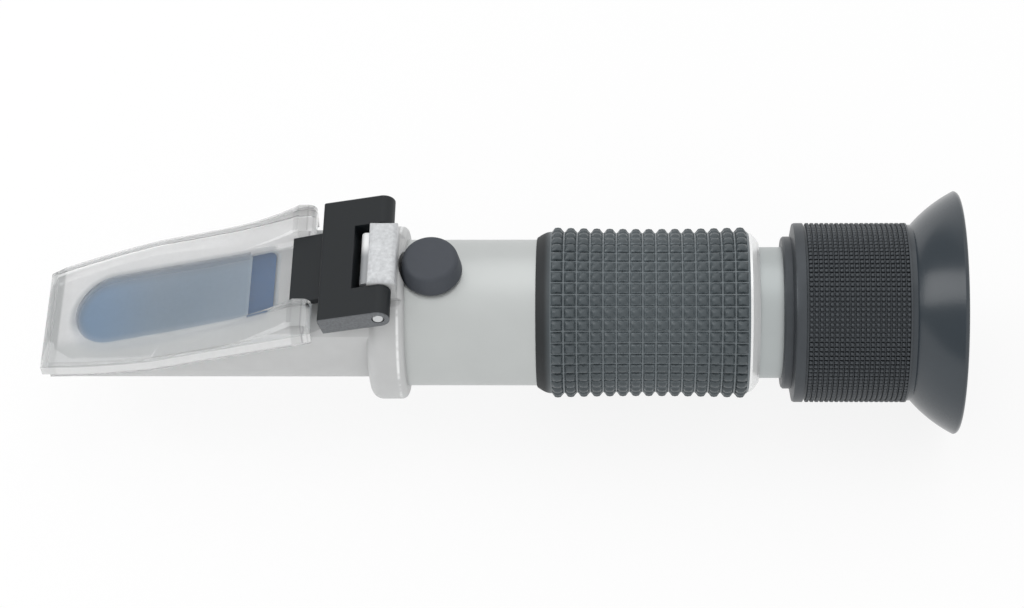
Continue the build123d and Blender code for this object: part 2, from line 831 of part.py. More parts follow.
def lens_spacer():
    """Tube between the two eyepiece lenses."""
    start = field_lens_front() + field_lens_edge_thickness
    return ring(eyepiece_lens_radius, eyepiece_lens_radius - lens_spacer_wall, start, eye_lens_front())


def eye_lens():
    """Lens next to the eye."""
    front = eye_lens_front()
    clear = eyepiece_lens_radius - lens_spacer_wall - glue_clearance
    return lens(front, eye_lens_edge_thickness, eyepiece_lens_radius, clear, eye_lens_bulge_height)


def eye_lens_retainer():
    """Ring that holds the eye lens."""
    start = eye_lens_front() + eye_lens_edge_thickness
    inner = eyepiece_lens_radius - lens_spacer_wall
    return ring(eyepiece_lens_radius, inner, start, start + eye_retainer_length)


def eyepiece_tube():
    """Bright tube that screws in the body tube and turns with the focus ring."""
    body = ring(eyepiece_tube_radius, eyepiece_bore_radius, eyepiece_front_x, eyepiece_rear_x)
    return body + ring(
        eyepiece_tube_radius, eyepiece_lip_radius, eyepiece_rear_x - eyepiece_lip_length, eyepiece_rear_x
    )


def focus_ring_profile():
    """Outline of the focus ring with its nose, band, groove and knurl."""
    nose_end = ring_front_x + ring_nose_length
    band_start = nose_end + ring_shoulder_length
    band_end = band_start + ring_band_length
    knurl_start = band_end + ring_groove_length
    spigot_end = ring_rear_x + ring_spigot_length
    points = [
        (ring_front_x, eyepiece_tube_radius),
        (ring_front_x, ring_nose_radius - ring_nose_chamfer),
        (ring_front_x + ring_nose_chamfer, ring_nose_radius),
        (nose_end, ring_nose_radius),
        (band_start, ring_radius),
        (band_end, ring_radius),
        (band_end, ring_radius - ring_groove_depth),
        (knurl_start, ring_radius - ring_groove_depth),
    ]
    for tooth in range(knurl_count - 1):
        start = knurl_start + tooth * knurl_pitch
        points.append((start + knurl_pitch * 0.25, ring_radius))
        points.append((start + knurl_pitch * 0.75, ring_radius))
        points.append((start + knurl_pitch, ring_radius - knurl_depth))
    points += [
        (knurl_start + (knurl_count - 1) * knurl_pitch + knurl_pitch * 0.25, ring_radius),
        (ring_rear_x - ring_nose_chamfer, ring_radius),
        (ring_rear_x, ring_radius - ring_nose_chamfer),
        (ring_rear_x, ring_spigot_radius),
        (spigot_end, ring_spigot_radius),
        (spigot_end, sight_bore_radius),
        (eyepiece_rear_x, sight_bore_radius),
        (eyepiece_rear_x, eyepiece_tube_radius),
    ]
    return points


def focus_ring():
    """Knurled ring fixed on the eyepiece tube, with a spigot for the eyecup."""
    return turned(focus_ring_profile())


def eyecup():
    """Flared rubber cup pushed over the ring's spigot."""
    spigot_end = ring_rear_x + ring_spigot_length
    floor_x = spigot_end + eyecup_lip_thickness
    flare_x = ring_rear_x + eyecup_neck_length
    rim_half = eyecup_rim_thickness / 2
    rim_start = rim_x - rim_half
    inner_rim = eyecup_rim_radius - eyecup_rim_thickness
    outer_middle_r = (eyecup_neck_radius + eyecup_rim_radius) / 2 + eyecup_bulge_height
    inner_middle_r = (eyecup_floor_radius + inner_rim) / 2 + eyecup_bulge_height / 2
    outer_start = (flare_x, 0, eyecup_neck_radius)
    outer_middle = ((flare_x + rim_start) / 2, 0, outer_middle_r)
    outer_end = (rim_start, 0, eyecup_rim_radius)
    rim_crest = (rim_x, 0, eyecup_rim_radius - rim_half)
    inner_start = (rim_start, 0, inner_rim)
    inner_middle = ((floor_x + rim_start) / 2, 0, inner_middle_r)
    inner_end = (floor_x, 0, eyecup_floor_radius)
    seat = [
        inner_end,
        (floor_x, 0, eyecup_aperture_radius),
        (spigot_end, 0, eyecup_aperture_radius),
        (spigot_end, 0, ring_spigot_radius),
        (ring_rear_x, 0, ring_spigot_radius),
        (ring_rear_x, 0, eyecup_neck_radius),
        outer_start,
    ]
    outline = [
        ThreePointArc(outer_start, outer_middle, outer_end),
        ThreePointArc(outer_end, rim_crest, inner_start),
        ThreePointArc(inner_start, inner_middle, inner_end),
        Polyline(*seat),
    ]
    return revolve(make_face(outline), axis=Axis.X)


pieces = {
    "prism_housing": prism_housing,
    "measuring_prism": measuring_prism,
    "prism_seal": prism_seal,
    "daylight_plate": daylight_plate,
    "hinge_bracket": hinge_bracket,
    "hinge_pin": hinge_pin,
    "body_tube": body_tube,
    "screw_bushing": screw_bushing,
    "calibration_screw": calibration_screw,
    "calibration_cap": calibration_cap,
    "lens_carriage": lens_carriage,
    "backlash_washer": backlash_washer,
    "bimetal_strip": bimetal_strip,
    "strip_rivets": strip_rivets,
    "objective_cell": objective_cell,
    "objective_lens": objective_lens,
    "objective_retainer": objective_retainer,
    "reticle_holder": reticle_holder,
    "reticle": reticle,
    "reticle_retainer": reticle_retainer,
    "rubber_grip": rubber_grip,
    "grip_end_ring": grip_end_ring,
    "guide_sleeve": guide_sleeve,
    "guide_pin": guide_pin,
    "lens_barrel": lens_barrel,
    "barrel_circlip": barrel_circlip,
    "field_lens": field_lens,
    "lens_spacer": lens_spacer,
    "eye_lens": eye_lens,
    "eye_lens_retainer": eye_lens_retainer,
    "eyepiece_tube": eyepiece_tube,
    "focus_ring": focus_ring,
    "eyecup": eyecup,
}

for node, make in pieces.items():
    export_step(make(), f"parts/{node}.step")
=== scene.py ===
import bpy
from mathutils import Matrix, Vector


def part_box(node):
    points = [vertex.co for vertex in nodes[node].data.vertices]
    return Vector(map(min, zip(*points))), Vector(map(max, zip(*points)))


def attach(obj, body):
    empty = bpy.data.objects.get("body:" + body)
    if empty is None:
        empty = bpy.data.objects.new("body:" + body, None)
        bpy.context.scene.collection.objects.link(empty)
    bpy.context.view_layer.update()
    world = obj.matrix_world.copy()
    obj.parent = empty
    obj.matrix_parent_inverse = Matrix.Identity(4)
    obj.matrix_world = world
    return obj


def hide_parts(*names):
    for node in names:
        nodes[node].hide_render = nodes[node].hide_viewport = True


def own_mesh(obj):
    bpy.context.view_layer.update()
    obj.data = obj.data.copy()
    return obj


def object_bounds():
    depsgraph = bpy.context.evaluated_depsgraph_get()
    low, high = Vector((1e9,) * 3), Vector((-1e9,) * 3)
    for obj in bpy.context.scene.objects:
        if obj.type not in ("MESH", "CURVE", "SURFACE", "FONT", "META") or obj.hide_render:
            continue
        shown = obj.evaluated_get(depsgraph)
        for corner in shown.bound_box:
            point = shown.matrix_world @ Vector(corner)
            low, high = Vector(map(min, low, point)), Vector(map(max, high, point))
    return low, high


bl_info = {
    "name": "Antifreeze refractometer",
    "version": (1, 0, 0),
    "blender": (4, 5, 0),
    "location": "3D View > Sidebar > Refractometer",
    "description": "Finishes and fine shapes of a hand-held coolant refractometer",
    "category": "Object",
}

from math import cos, pi, radians, sin, tan

import bmesh
import bpy
from bpy.props import FloatProperty, FloatVectorProperty, IntProperty, PointerProperty
from mathutils import Matrix, Quaternion, Vector

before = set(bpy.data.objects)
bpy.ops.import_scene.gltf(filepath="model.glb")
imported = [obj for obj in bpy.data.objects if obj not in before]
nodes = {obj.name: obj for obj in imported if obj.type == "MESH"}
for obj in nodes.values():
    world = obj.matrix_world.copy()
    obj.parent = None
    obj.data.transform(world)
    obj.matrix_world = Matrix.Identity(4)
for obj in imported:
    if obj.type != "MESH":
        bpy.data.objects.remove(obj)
cad_low, cad_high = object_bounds()

MM = 0.001

# Where the pieces lie along the optical axis, read from the frame
PLATE_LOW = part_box("daylight_plate")[0]
PRISM_LOW, PRISM_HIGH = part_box("measuring_prism")
PIN_LOW, PIN_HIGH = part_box("hinge_pin")
GRIP_LOW, GRIP_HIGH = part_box("rubber_grip")
FOCUS_LOW, FOCUS_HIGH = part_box("focus_ring")
PIN_X = (PIN_LOW.x + PIN_HIGH.x) / 2
FACE_SLOPE = tan(radians(16.8))

# The hinge lug: its front, its rear, half its width, where it leaves the collar, the step before its top
LUG_FRONT = PIN_X - 3.6 * MM
LUG_REAR = PIN_X + 2.75 * MM
LUG_HALF_WIDTH = 6.15 * MM
LUG_FOOT = 15.1 * MM
LUG_STEP = PIN_X - 2.1 * MM

# The collar's rear edge, where a highlight is painted on the enamel
COLLAR_EDGE_FRONT = PIN_X + 2.55 * MM
COLLAR_EDGE_REAR = PIN_X + 2.95 * MM
COLLAR_EDGE_RADIUS = 13 * MM
COLLAR_EDGE_TOP = 12.6 * MM

# Levels past the whole part, for masks that are open to one side
ABOVE_ALL = 30 * MM
BELOW_ALL = -30 * MM

# How far a mirrored direction leans to the prism's side where the darker wall starts and where it is full
WALL_START = -0.45
WALL_FULL = -0.7

# Rear end of the frosted pad under the plate, and how far the pad lies to the near side
PAD_REAR = PRISM_HIGH.x - 4.4 * MM
PAD_SHIFT = 0.35 * MM

# Painted shade: dark streaks in the plate's rear shoulders where refraction darkens them; start and end
# before their rear edge, and how dark they are
SHOULDER_SHADE_LINES = ((3.3 * MM, 1.7 * MM, 0.8), (1.6 * MM, 1.3 * MM, 0.5), (0.6 * MM, 0.4 * MM, 0.7))

# Meshes: points closer than this are merged, flatter folds count as one face, sharper edges are rounded,
# and folds sharper than the creases show as edges
DOUBLE_DISTANCE = 0.002 * MM
FLAT_FOLD = radians(0.5)
ROUNDED_EDGE = radians(35)
PLATE_CREASE = radians(30)
TURNED_CREASE = radians(28)

# Steps along the grip's plain front end and along its waist
LEAD_STEPS = 8
WAIST_STEPS = 24

# Widths over which edges between two finishes fade
CRISP = 0.05 * MM
FAINT = 0.12 * MM


def linear(hex_colour):
    """Linear red, green and blue of an sRGB colour written as #RRGGBB."""
    channels = [int(hex_colour[i : i + 2], 16) / 255 for i in (1, 3, 5)]
    return tuple(c / 12.92 if c <= 0.04045 else ((c + 0.055) / 1.055) ** 2.4 for c in channels)


def tone(name, description, channels):
    """Colour property with a linear default."""
    return FloatVectorProperty(
        name=name, description=description, subtype="COLOR", size=3, min=0, max=1, default=channels
    )


def colour(name, description, hex_colour):
    """Colour property with an sRGB default."""
    return tone(name, description, linear(hex_colour))


def number(name, description, default):
    """Plain number property."""
    return FloatProperty(name=name, description=description, default=default)


def fraction(name, description, default):
    """Property between 0 and 1."""
    return FloatProperty(name=name, description=description, default=default, min=0, max=1)


def count(name, description, default):
    """Whole number property."""
    return IntProperty(name=name, description=description, default=default)


def angle(name, description, degrees):
    """Angle property with a default in degrees."""
    return FloatProperty(name=name, description=description, subtype="ANGLE", default=radians(degrees))


def length(name, description, metres):
    """Length property in metres."""
    return FloatProperty(
        name=name, description=description, unit="LENGTH", subtype="DISTANCE", default=metres, precision=5
    )


class StageSettings(bpy.types.PropertyGroup):
    """Camera, floor and lights."""

    camera_distance: length("Camera distance", "From the camera to the optical axis", 0.5)
    camera_height_angle: angle("Camera height angle", "Camera above the horizon, seen from the axis", 56)
    camera_station: length("Camera station", "Place of the camera along the optical axis", 0.0211)
    aim_station: length("Aim station", "Place along the optical axis that the camera looks at", 0.0025)
    aim_rise: length("Aim rise", "How far above the optical axis the picture's middle lies", 0.00146)
    focal_length: number("Focal length", "Focal length in millimetres", 102.5)
    sensor_width: number("Sensor width", "Width of the camera's sensor in millimetres", 36)
    room_light: number("Room light", "Strength of the white surroundings", 0.88)
    wall_light: number("Wall light", "Strength of the wall past the prism where it is mirrored", 0.2)
    overhead_power: number("Overhead power", "Softbox above, in watts", 0.5)
    side_power: number("Side power", "Softbox beside the prism end, in watts", 1.9)
    front_power: number("Front power", "Low softbox in front, in watts", 0.3)
    gleam_power: number("Gleam power", "Tall strip that gleams on the eyecup, in watts", 2.6)
    gleam_roll: angle("Gleam roll", "Lean of the tall strip", -22)
    floor_half: length("Floor half", "Half the side of the square floor", 1.5)
    paper: colour("Paper", "White studio paper of the floor", "#F4F4F4")
    floor_shadow: fraction("Floor shadow", "Share of the floor's own shading that shows", 0.14)


class HousingFinish(bpy.types.PropertyGroup):
    """Grey castings and the bare tube."""

    casting: colour("Casting", "Satin grey enamel of the prism housing", "#BFC0C0")
    milled_metal: colour("Milled metal", "Bare milled top of the hinge lug", "#C4C6C8")
    # Painted shade on the near side of the step before the lug's top
    step_painted_shade: tone("Step painted shade", "Near side of the step in front of the lug's top", (0.3, 0.31, 0.32))
    # Painted highlight on the collar's rear edge and on the far side of the lug's step
    painted_highlight: colour("Painted highlight", "Highlight painted along the collar's rear edge and the lug step's far side", "#EDEEEE")
    tube: colour("Tube", "Satin anodised body tube", "#BEC1C0")
    sliding_tube: colour("Sliding tube", "Satin tube of the eyepiece", "#B1B6B6")
    bright_ring: colour("Bright ring", "Plated ring behind the grip", "#F1F2F2")
    steel: colour("Steel", "Ground hinge pin and small hardware", "#C9CBCC")
    brass: colour("Brass", "Captive calibration screw and its bushing", "#B9975B")
    black_metal: colour("Black metal", "Black anodised rings inside the tube", "#1C1D1F")
    lens: colour("Lens", "Coated glass of the lenses and the scale", "#EEF4F1")


class CoverFinish(bpy.types.PropertyGroup):
    """Hinged cover, its bracket and the prism under it."""

    acrylic: colour("Acrylic", "Milky light that the plate's matt underside gives back", "#FDFDFD")
    # Painted shade along the plate's near side
    near_side_shade: colour("Near side", "Greyer shade painted along the plate's near side", "#EDEEEE")
    # Painted shade in a greyer band along the plate's bevelled front edge
    front_edge_shade: colour("Front edge", "Greyer band along the plate's bevelled front edge", "#E2E3E3")
    pad: colour("Pad", "Tint of the frosted pad under the plate", "#C2CCD4")
    pad_front: colour("Pad front", "Bluer tint of the pad's round front end", "#BECFDF")
    pad_rim: colour("Pad rim", "Soft grey shade on the front and far side of the pad", "#B4B7BB")
    pad_rim_strength: fraction("Pad rim strength", "How much of that shade shows", 0.8)
    top_clarity: fraction("Top clarity", "How clear the polished top is", 0.94)
    skirt_clarity: fraction("Skirt clarity", "How clear the skirts are below the glass", 0.8)
    strip_frost: fraction("Strip frost", "Frost over the bare glass, as a share of the pad's", 0.15)
    haze: fraction("Haze", "How much the matt underside hides what lies under it", 0.72)
    pad_haze: fraction("Pad haze", "How much the frosted pad hides the prism under it", 0.6)
    pad_roughness: fraction("Pad roughness", "How frosted the pad is", 0.4)
    skirt: tone("Skirt", "Greyer acrylic of the skirts below the glass", (0.84, 0.84, 0.84))
    passing_light: colour("Passing light", "Tint of the light that falls through the plate", "#F8F9FA")
    # Painted reflection: the blue of the prism
    prism_glass: colour("Prism glass", "Blue painted on the measuring prism for the reflection inside it", "#2B6294")
    bracket: colour("Bracket", "Black glass-filled nylon of the hinge bracket", "#0D1317")
    bracket_end_light: colour("Bracket end light", "Paler grey painted on the bracket's two end faces as a highlight", "#64676A")
    seal: colour("Seal", "Grey silicone frame round the prism", "#BCC3C8")
    edge_round: length("Edge round", "Small round on the plate's edges", 0.25 * MM)


class RubberFinish(bpy.types.PropertyGroup):
    """Studded grip, calibration cap and eyecup."""

    grip: colour("Grip", "Nitrile rubber of the grip", "#41494D")
    # Paler rubber between the studs
    paler_grooves: colour("Paler grooves", "Paler rubber between the studs", "#697175")
    grip_lip: colour("Grip lip", "Duller rubber of the grip's plain front end", "#1C1F21")
    cap: colour("Cap", "Silicone rubber of the calibration cap", "#3F434A")
    eyecup: colour("Eyecup", "Soft rubber of the eyecup", "#343B41")
    columns: count("Stud columns", "Rings of studs along the grip", 15)
    rows: count("Stud rows", "Studs in each ring", 42)
    stud_length: length("Stud length", "Length of a stud along the grip", 1.96 * MM)
    stud_width: length("Stud width", "Width of a stud round the grip", 1.84 * MM)
    stud_height: length("Stud height", "Height of a stud from its foot", 0.75 * MM)
    pitch: length("Stud pitch", "Distance between rings of studs", 2.22 * MM)
    lead_length: length("Lead length", "Plain length of the grip in front of the studs", 2.45 * MM)
    waist: length("Waist", "How much slimmer the grip is at its middle", 0.25 * MM)
    crest_radius: length("Crest radius", "Radius over the studs at the ends", 14.6 * MM)
    lip_radius: length("Lip radius", "Radius of the grip's front lip", 12.85 * MM)
    tube_radius: length("Tube radius", "Radius of the tube inside the grip", 12.5 * MM)
    top_share: fraction("Top share", "Size of a stud's top as a share of its foot", 0.5)
    dome_share: fraction("Dome share", "Height that a stud's corners lose to its domed top", 0.24)
    segments: count("Segments", "Segments round the sleeve under the studs", 168)


class FocusRingShape(bpy.types.PropertyGroup):
    """Knurled focus ring."""

    metal: colour("Metal", "Black anodised focus ring", "#43474B")
    columns: count("Knurl columns", "Rings of knurl teeth along the ring", 20)
    rows: count("Knurl rows", "Knurl teeth in each ring", 112)
    pitch: length("Knurl pitch", "Distance between rings of teeth", 0.85 * MM)
    stud_length: length("Tooth length", "Length of a tooth along the ring", 0.72 * MM)
    stud_width: length("Tooth width", "Width of a tooth round the ring", 0.7 * MM)
    stud_height: length("Tooth height", "Height of a tooth from its foot", 0.42 * MM)
    top_share: fraction("Top share", "Size of a tooth's top as a share of its foot", 0.62)
    dome_share: fraction("Dome share", "Height that a tooth's corners lose to its domed top", 0.05)
    segments: count("Segments", "Segments round the ring under the teeth", 192)
    crest_radius: length("Crest radius", "Radius over the teeth", 15.3 * MM)
    waist: length("Waist", "How much slimmer the ring is at its middle", 0)
    nose_radius: length("Nose radius", "Radius of the plain nose", 13.0 * MM)
    nose_length: length("Nose length", "Length of the plain nose", 1.5 * MM)
    shoulder_length: length("Shoulder length", "Slope between the nose and the band", 0.55 * MM)
    band_length: length("Band length", "Smooth band in front of the knurl", 1.6 * MM)
    groove_length: length("Groove length", "Width of the groove behind the band", 0.3 * MM)
    groove_depth: length("Groove depth", "Depth of the groove behind the band", 0.45 * MM)
    chamfer: length("Chamfer", "Small bevel on the edges", 0.3 * MM)
    spigot_radius: length("Spigot radius", "Radius of the spigot that carries the eyecup", 12.6 * MM)
    spigot_length: length("Spigot length", "Length of the spigot", 3.0 * MM)
    bore_radius: length("Bore radius", "Sight bore", 9.0 * MM)
    tube_radius: length("Tube radius", "Outside of the tube that the ring sits on", 11.2 * MM)
    tube_recess: length("Tube recess", "How far the tube ends before the spigot's root", 1.9 * MM)


def feed(tree, socket, value):
    """Links another socket to an input, or sets the input to a plain value."""
    if isinstance(value, bpy.types.NodeSocket):
        tree.links.new(value, socket)
    elif socket.type == "RGBA":
        socket.default_value = (*value, 1)
    else:
        socket.default_value = value


def add(tree, kind, table=()):
    """Adds a node; the table says its properties, and the plain values or sockets for its inputs."""
    node = tree.nodes.new(kind)
    for name, value in dict(table).items():
        if isinstance(name, str) and hasattr(node, name):
            setattr(node, name, value)
        else:
            feed(tree, node.inputs[name], value)
    return node


def formula(tree, value):
    """Socket of a nested formula such as ("ADD", first, ("MULTIPLY", second, 2)), or the value itself."""
    if not isinstance(value, tuple):
        return value
    operation, *parts = value
    table = {place: formula(tree, part) for place, part in enumerate(parts)}
    return add(tree, "ShaderNodeMath", {"operation": operation, **table}).outputs[0]


def material(name):
    """New material and its empty node tree."""
    made = bpy.data.materials.new(name)
    made.use_nodes = True
    made.node_tree.nodes.clear()
    return made, made.node_tree


def finish_with(tree, shader):
    """Links a shader to the material's output."""
    add(tree, "ShaderNodeOutputMaterial", {"Surface": shader})


def finish_surface(tree, table):
    """Gives the material a principled surface."""
    finish_with(tree, add(tree, "ShaderNodeBsdfPrincipled", table).outputs[0])


def object_point(tree, scale=(1, 1, 1)):
    """Object coordinates, stretched for a pattern."""
    coordinates = add(tree, "ShaderNodeTexCoord")
    table = {"Scale": scale, "Vector": coordinates.outputs["Object"]}
    return add(tree, "ShaderNodeMapping", table).outputs["Vector"]


def object_xyz(tree):
    """The three object coordinates as numbers."""
    return add(tree, "ShaderNodeSeparateXYZ", {0: object_point(tree)}).outputs


def grain(tree, size, detail=3, scale=(1, 1, 1)):
    """Cloudy pattern whose spots are about one size, in metres."""
    table = {"Scale": 1 / size, "Detail": detail, "Vector": object_point(tree, scale)}
    return add(tree, "ShaderNodeTexNoise", table).outputs[0]


def between(tree, value, low, high, soft):
    """Mask that is 1 between two limits and fades to 0 over a soft edge."""
    limits = ((low - soft, low + soft), (high + soft, high - soft))
    rise, fall = (
        add(tree, "ShaderNodeMapRange", {"From Min": start, "From Max": end, "Value": value}).outputs[0]
        for start, end in limits
    )
    return times(tree, rise, fall)


def axis_distance(tree):
    """Distance from the optical axis."""
    flat = object_point(tree, (0, 1, 1))
    return add(tree, "ShaderNodeVectorMath", {"operation": "LENGTH", 0: flat}).outputs["Value"]


def ramp(tree, value, start, end):
    """Mask that goes smoothly from 0 at the start to 1 at the end."""
    table = {"interpolation_type": "SMOOTHSTEP", "From Min": start, "From Max": end, "Value": value}
    return add(tree, "ShaderNodeMapRange", table).outputs[0]


def times(tree, *masks):
    """Product of several masks."""
    result = masks[0]
    for mask in masks[1:]:
        result = formula(tree, ("MULTIPLY", result, mask))
    return result


def blend_colours(tree, mask, first, second, blend_type="MIX"):
    """Colour that goes from the first to the second with a mask."""
    table = {"data_type": "RGBA", "blend_type": blend_type, "Factor": mask, 6: first, 7: second}
    return add(tree, "ShaderNodeMix", table).outputs[2]


def blend_values(tree, mask, first, second):
    """Number that goes from the first to the second with a mask."""
    return add(tree, "ShaderNodeMapRange", {"Value": mask, "To Min": first, "To Max": second}).outputs[0]


def bumped(tree, height, depth, normal=None):
    """Normal of a surface raised by a pattern, up to a depth in metres."""
    table = {"Strength": 1, "Distance": depth, "Height": height}
    if normal is not None:
        table["Normal"] = normal
    return add(tree, "ShaderNodeBump", table).outputs["Normal"]


def rounded_edges(tree, radius):
    """Normal that rounds the sharp edges of a solid."""
    return add(tree, "ShaderNodeBevel", {"Radius": radius, "samples": 6}).outputs["Normal"]


def shades(tree, base, spread, size, scale=(1, 1, 1)):
    """Colour that wanders a little darker and lighter over spots of one size."""
    low = tuple(c * (1 - spread) for c in base)
    high = tuple(min(1, c * (1 + spread)) for c in base)
    return blend_colours(tree, grain(tree, size, 2, scale), low, high)


def paint(made, *node_names):
    """Gives CAD nodes their material."""
    for name in node_names:
        slots = nodes[name].data.materials
        slots.clear()
        slots.append(made)


def mesh_object(name, mesh, made, body, replaced):
    """Object for a finished mesh, riding on its body and standing for the CAD node it replaces."""
    obj = bpy.data.objects.new(name, mesh)
    bpy.context.scene.collection.objects.link(obj)
    obj.data.materials.clear()
    obj.data.materials.append(made)
    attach(obj, body)
    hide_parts(replaced)
    return obj


def turned_mesh(name, outline, segments):
    """Mesh of a closed outline of (station, radius) points turned about the optical axis."""
    mesh = bpy.data.meshes.new(name)
    bm = bmesh.new()
    rings = []
    for step in range(segments):
        turn = 2 * pi * step / segments
        rings.append([bm.verts.new((x, -r * sin(turn), r * cos(turn))) for x, r in outline])
    for step, ring in enumerate(rings):
        after = rings[(step + 1) % segments]
        for place in range(len(outline)):
            beside = (place + 1) % len(outline)
            bm.faces.new((ring[place], ring[beside], after[beside], after[place]))
    bmesh.ops.recalc_face_normals(bm, faces=bm.faces)
    for face in bm.faces:
        face.smooth = True
    for edge in bm.edges:
        edge.smooth = edge.calc_face_angle(0) < TURNED_CREASE
    bm.to_mesh(mesh)
    bm.free()
    return mesh


# Number inputs of the Geometry Nodes group below; the grip's and the ring's settings have the same names
STUD_COUNTS = ("Columns", "Rows")
STUD_SIZES = ("Stud Length", "Stud Width", "Stud Height")
STUD_NUMBERS = ("Pitch", "Crest Radius", "Waist", *STUD_SIZES, "Top Share", "Dome Share")


def studded_sleeve_tree():
    """Geometry Nodes group that sets rings of domed studs on a sleeve about the X axis."""
    tree = bpy.data.node_groups.new("studded_sleeve", "GeometryNodeTree")
    inputs = {
        "Geometry": ("Sleeve",),
        "Int": STUD_COUNTS,
        "Float": ("First Station", *STUD_NUMBERS),
        "Material": ("Material",),
    }
    for kind, names in inputs.items():
        for name in names:
            tree.interface.new_socket(name, in_out="INPUT", socket_type="NodeSocket" + kind)
    tree.interface.new_socket("Geometry", in_out="OUTPUT", socket_type="NodeSocketGeometry")
    given = add(tree, "NodeGroupInput").outputs
    columns, rows = given["Columns"], given["Rows"]

    # One point for each stud, counted ring by ring
    points = add(tree, "GeometryNodeMeshGrid", {"Vertices X": columns, "Vertices Y": rows})
    index = add(tree, "GeometryNodeInputIndex").outputs[0]
    column = formula(tree, ("FLOOR", ("DIVIDE", index, rows)))
    row = ("SUBTRACT", index, ("MULTIPLY", column, rows))
    station = formula(tree, ("ADD", given["First Station"], ("MULTIPLY", column, given["Pitch"])))
    turn = formula(tree, ("MULTIPLY", ("DIVIDE", row, rows), 2 * pi))
    along = ("DIVIDE", ("MULTIPLY", column, 2), ("SUBTRACT", columns, 1))
    across = formula(tree, ("SUBTRACT", along, 1))
    slimmer = ("MULTIPLY", given["Waist"], ("SUBTRACT", 1, ("MULTIPLY", across, across)))
    foot = formula(tree, ("SUBTRACT", ("SUBTRACT", given["Crest Radius"], slimmer), given["Stud Height"]))
    left = formula(tree, ("MULTIPLY", ("MULTIPLY", foot, ("SINE", turn)), -1))
    up = formula(tree, ("MULTIPLY", foot, ("COSINE", turn)))
    place = add(tree, "ShaderNodeCombineXYZ", {"X": station, "Y": left, "Z": up})
    moved = {"Geometry": points.outputs["Mesh"], "Position": place.outputs[0]}
    placed = add(tree, "GeometryNodeSetPosition", moved)

    # One stud: a cube of unit size whose sides lean in and whose top is domed
    cube = add(tree, "GeometryNodeMeshCube", {"Vertices X": 3, "Vertices Y": 3, "Vertices Z": 3})
    position = add(tree, "GeometryNodeInputPosition").outputs[0]
    x, y, z = add(tree, "ShaderNodeSeparateXYZ", {"Vector": position}).outputs
    height = formula(tree, ("ADD", z, 0.5))
    lean = formula(tree, ("SUBTRACT", 1, ("MULTIPLY", height, ("SUBTRACT", 1, given["Top Share"]))))
    apart = ("MULTIPLY", ("ADD", ("MULTIPLY", x, x), ("MULTIPLY", y, y)), 2)
    dome = formula(tree, ("SUBTRACT", 1, ("MULTIPLY", given["Dome Share"], apart)))
    factors = {"X": (x, lean), "Y": (y, lean), "Z": (height, dome)}
    lengths = {axis: formula(tree, ("MULTIPLY", *pair)) for axis, pair in factors.items()}
    stud_point = add(tree, "ShaderNodeCombineXYZ", lengths)
    shaped = {"Geometry": cube.outputs["Mesh"], "Position": stud_point.outputs[0]}
    stud = add(tree, "GeometryNodeSetPosition", shaped)
    smooth = add(tree, "GeometryNodeSetShadeSmooth", {"Shade Smooth": True, "Geometry": stud.outputs[0]})

    size = add(tree, "ShaderNodeCombineXYZ", dict(zip("XYZ", (given[name] for name in STUD_SIZES))))
    lay = add(tree, "ShaderNodeCombineXYZ", {"X": turn})
    studs = add(
        tree,
        "GeometryNodeInstanceOnPoints",
        {
            "Points": placed.outputs[0],
            "Instance": smooth.outputs[0],
            "Rotation": lay.outputs[0],
            "Scale": size.outputs[0],
        },
    )
    joined = add(tree, "GeometryNodeJoinGeometry", {"Geometry": given["Sleeve"]})
    feed(tree, joined.inputs[0], studs.outputs[0])
    real = add(tree, "GeometryNodeRealizeInstances", {"Geometry": joined.outputs[0]})
    painted = {"Geometry": real.outputs[0], "Material": given["Material"]}
    made = add(tree, "GeometryNodeSetMaterial", painted)
    add(tree, "NodeGroupOutput", {"Geometry": made.outputs[0]})
    return tree


def studded_mesh(name, outline, tree, settings, first_station, made):
    """Turned sleeve with the rings of studs that the settings describe."""
    values = {"First Station": first_station, "Material": made}
    for socket in (*STUD_COUNTS, *STUD_NUMBERS):
        values[socket] = getattr(settings, socket.lower().replace(" ", "_"))
    seed = bpy.data.objects.new(name + "_seed", turned_mesh(name + "_sleeve", outline, settings.segments))
    bpy.context.scene.collection.objects.link(seed)
    modifier = seed.modifiers.new("nodes", "NODES")
    modifier.node_group = tree
    for item in tree.interface.items_tree:
        if item.in_out == "INPUT" and item.name in values:
            modifier[item.identifier] = values[item.name]
    graph = bpy.context.evaluated_depsgraph_get()
    result = bpy.data.meshes.new_from_object(seed.evaluated_get(graph), depsgraph=graph)
    seed.modifiers.remove(modifier)
    bpy.data.objects.remove(seed)
    result.name = name
    return result


def softened_copy(name, node_name, width):
    """Mesh of a CAD node, merged to whole faces, with its sharp edges rounded by a small width."""
    bm = bmesh.new()
    bm.from_mesh(nodes[node_name].data)
    bmesh.ops.remove_doubles(bm, verts=bm.verts, dist=DOUBLE_DISTANCE)
    bmesh.ops.dissolve_limit(bm, angle_limit=FLAT_FOLD, verts=bm.verts, edges=bm.edges)
    sharp = [e for e in bm.edges if len(e.link_faces) == 2 and e.calc_face_angle(0) > ROUNDED_EDGE]
    bmesh.ops.bevel(
        bm, geom=sharp, offset=width, offset_type="OFFSET", segments=2, profile=0.5, affect="EDGES",
        clamp_overlap=True,
    )
    bmesh.ops.triangulate(bm, faces=[f for f in bm.faces if len(f.verts) > 4])
    for face in bm.faces:
        face.smooth = True
    for edge in bm.edges:
        edge.smooth = edge.calc_face_angle(0) < PLATE_CREASE
    mesh = bpy.data.meshes.new(name)
    bm.to_mesh(mesh)
    bm.free()
    return mesh


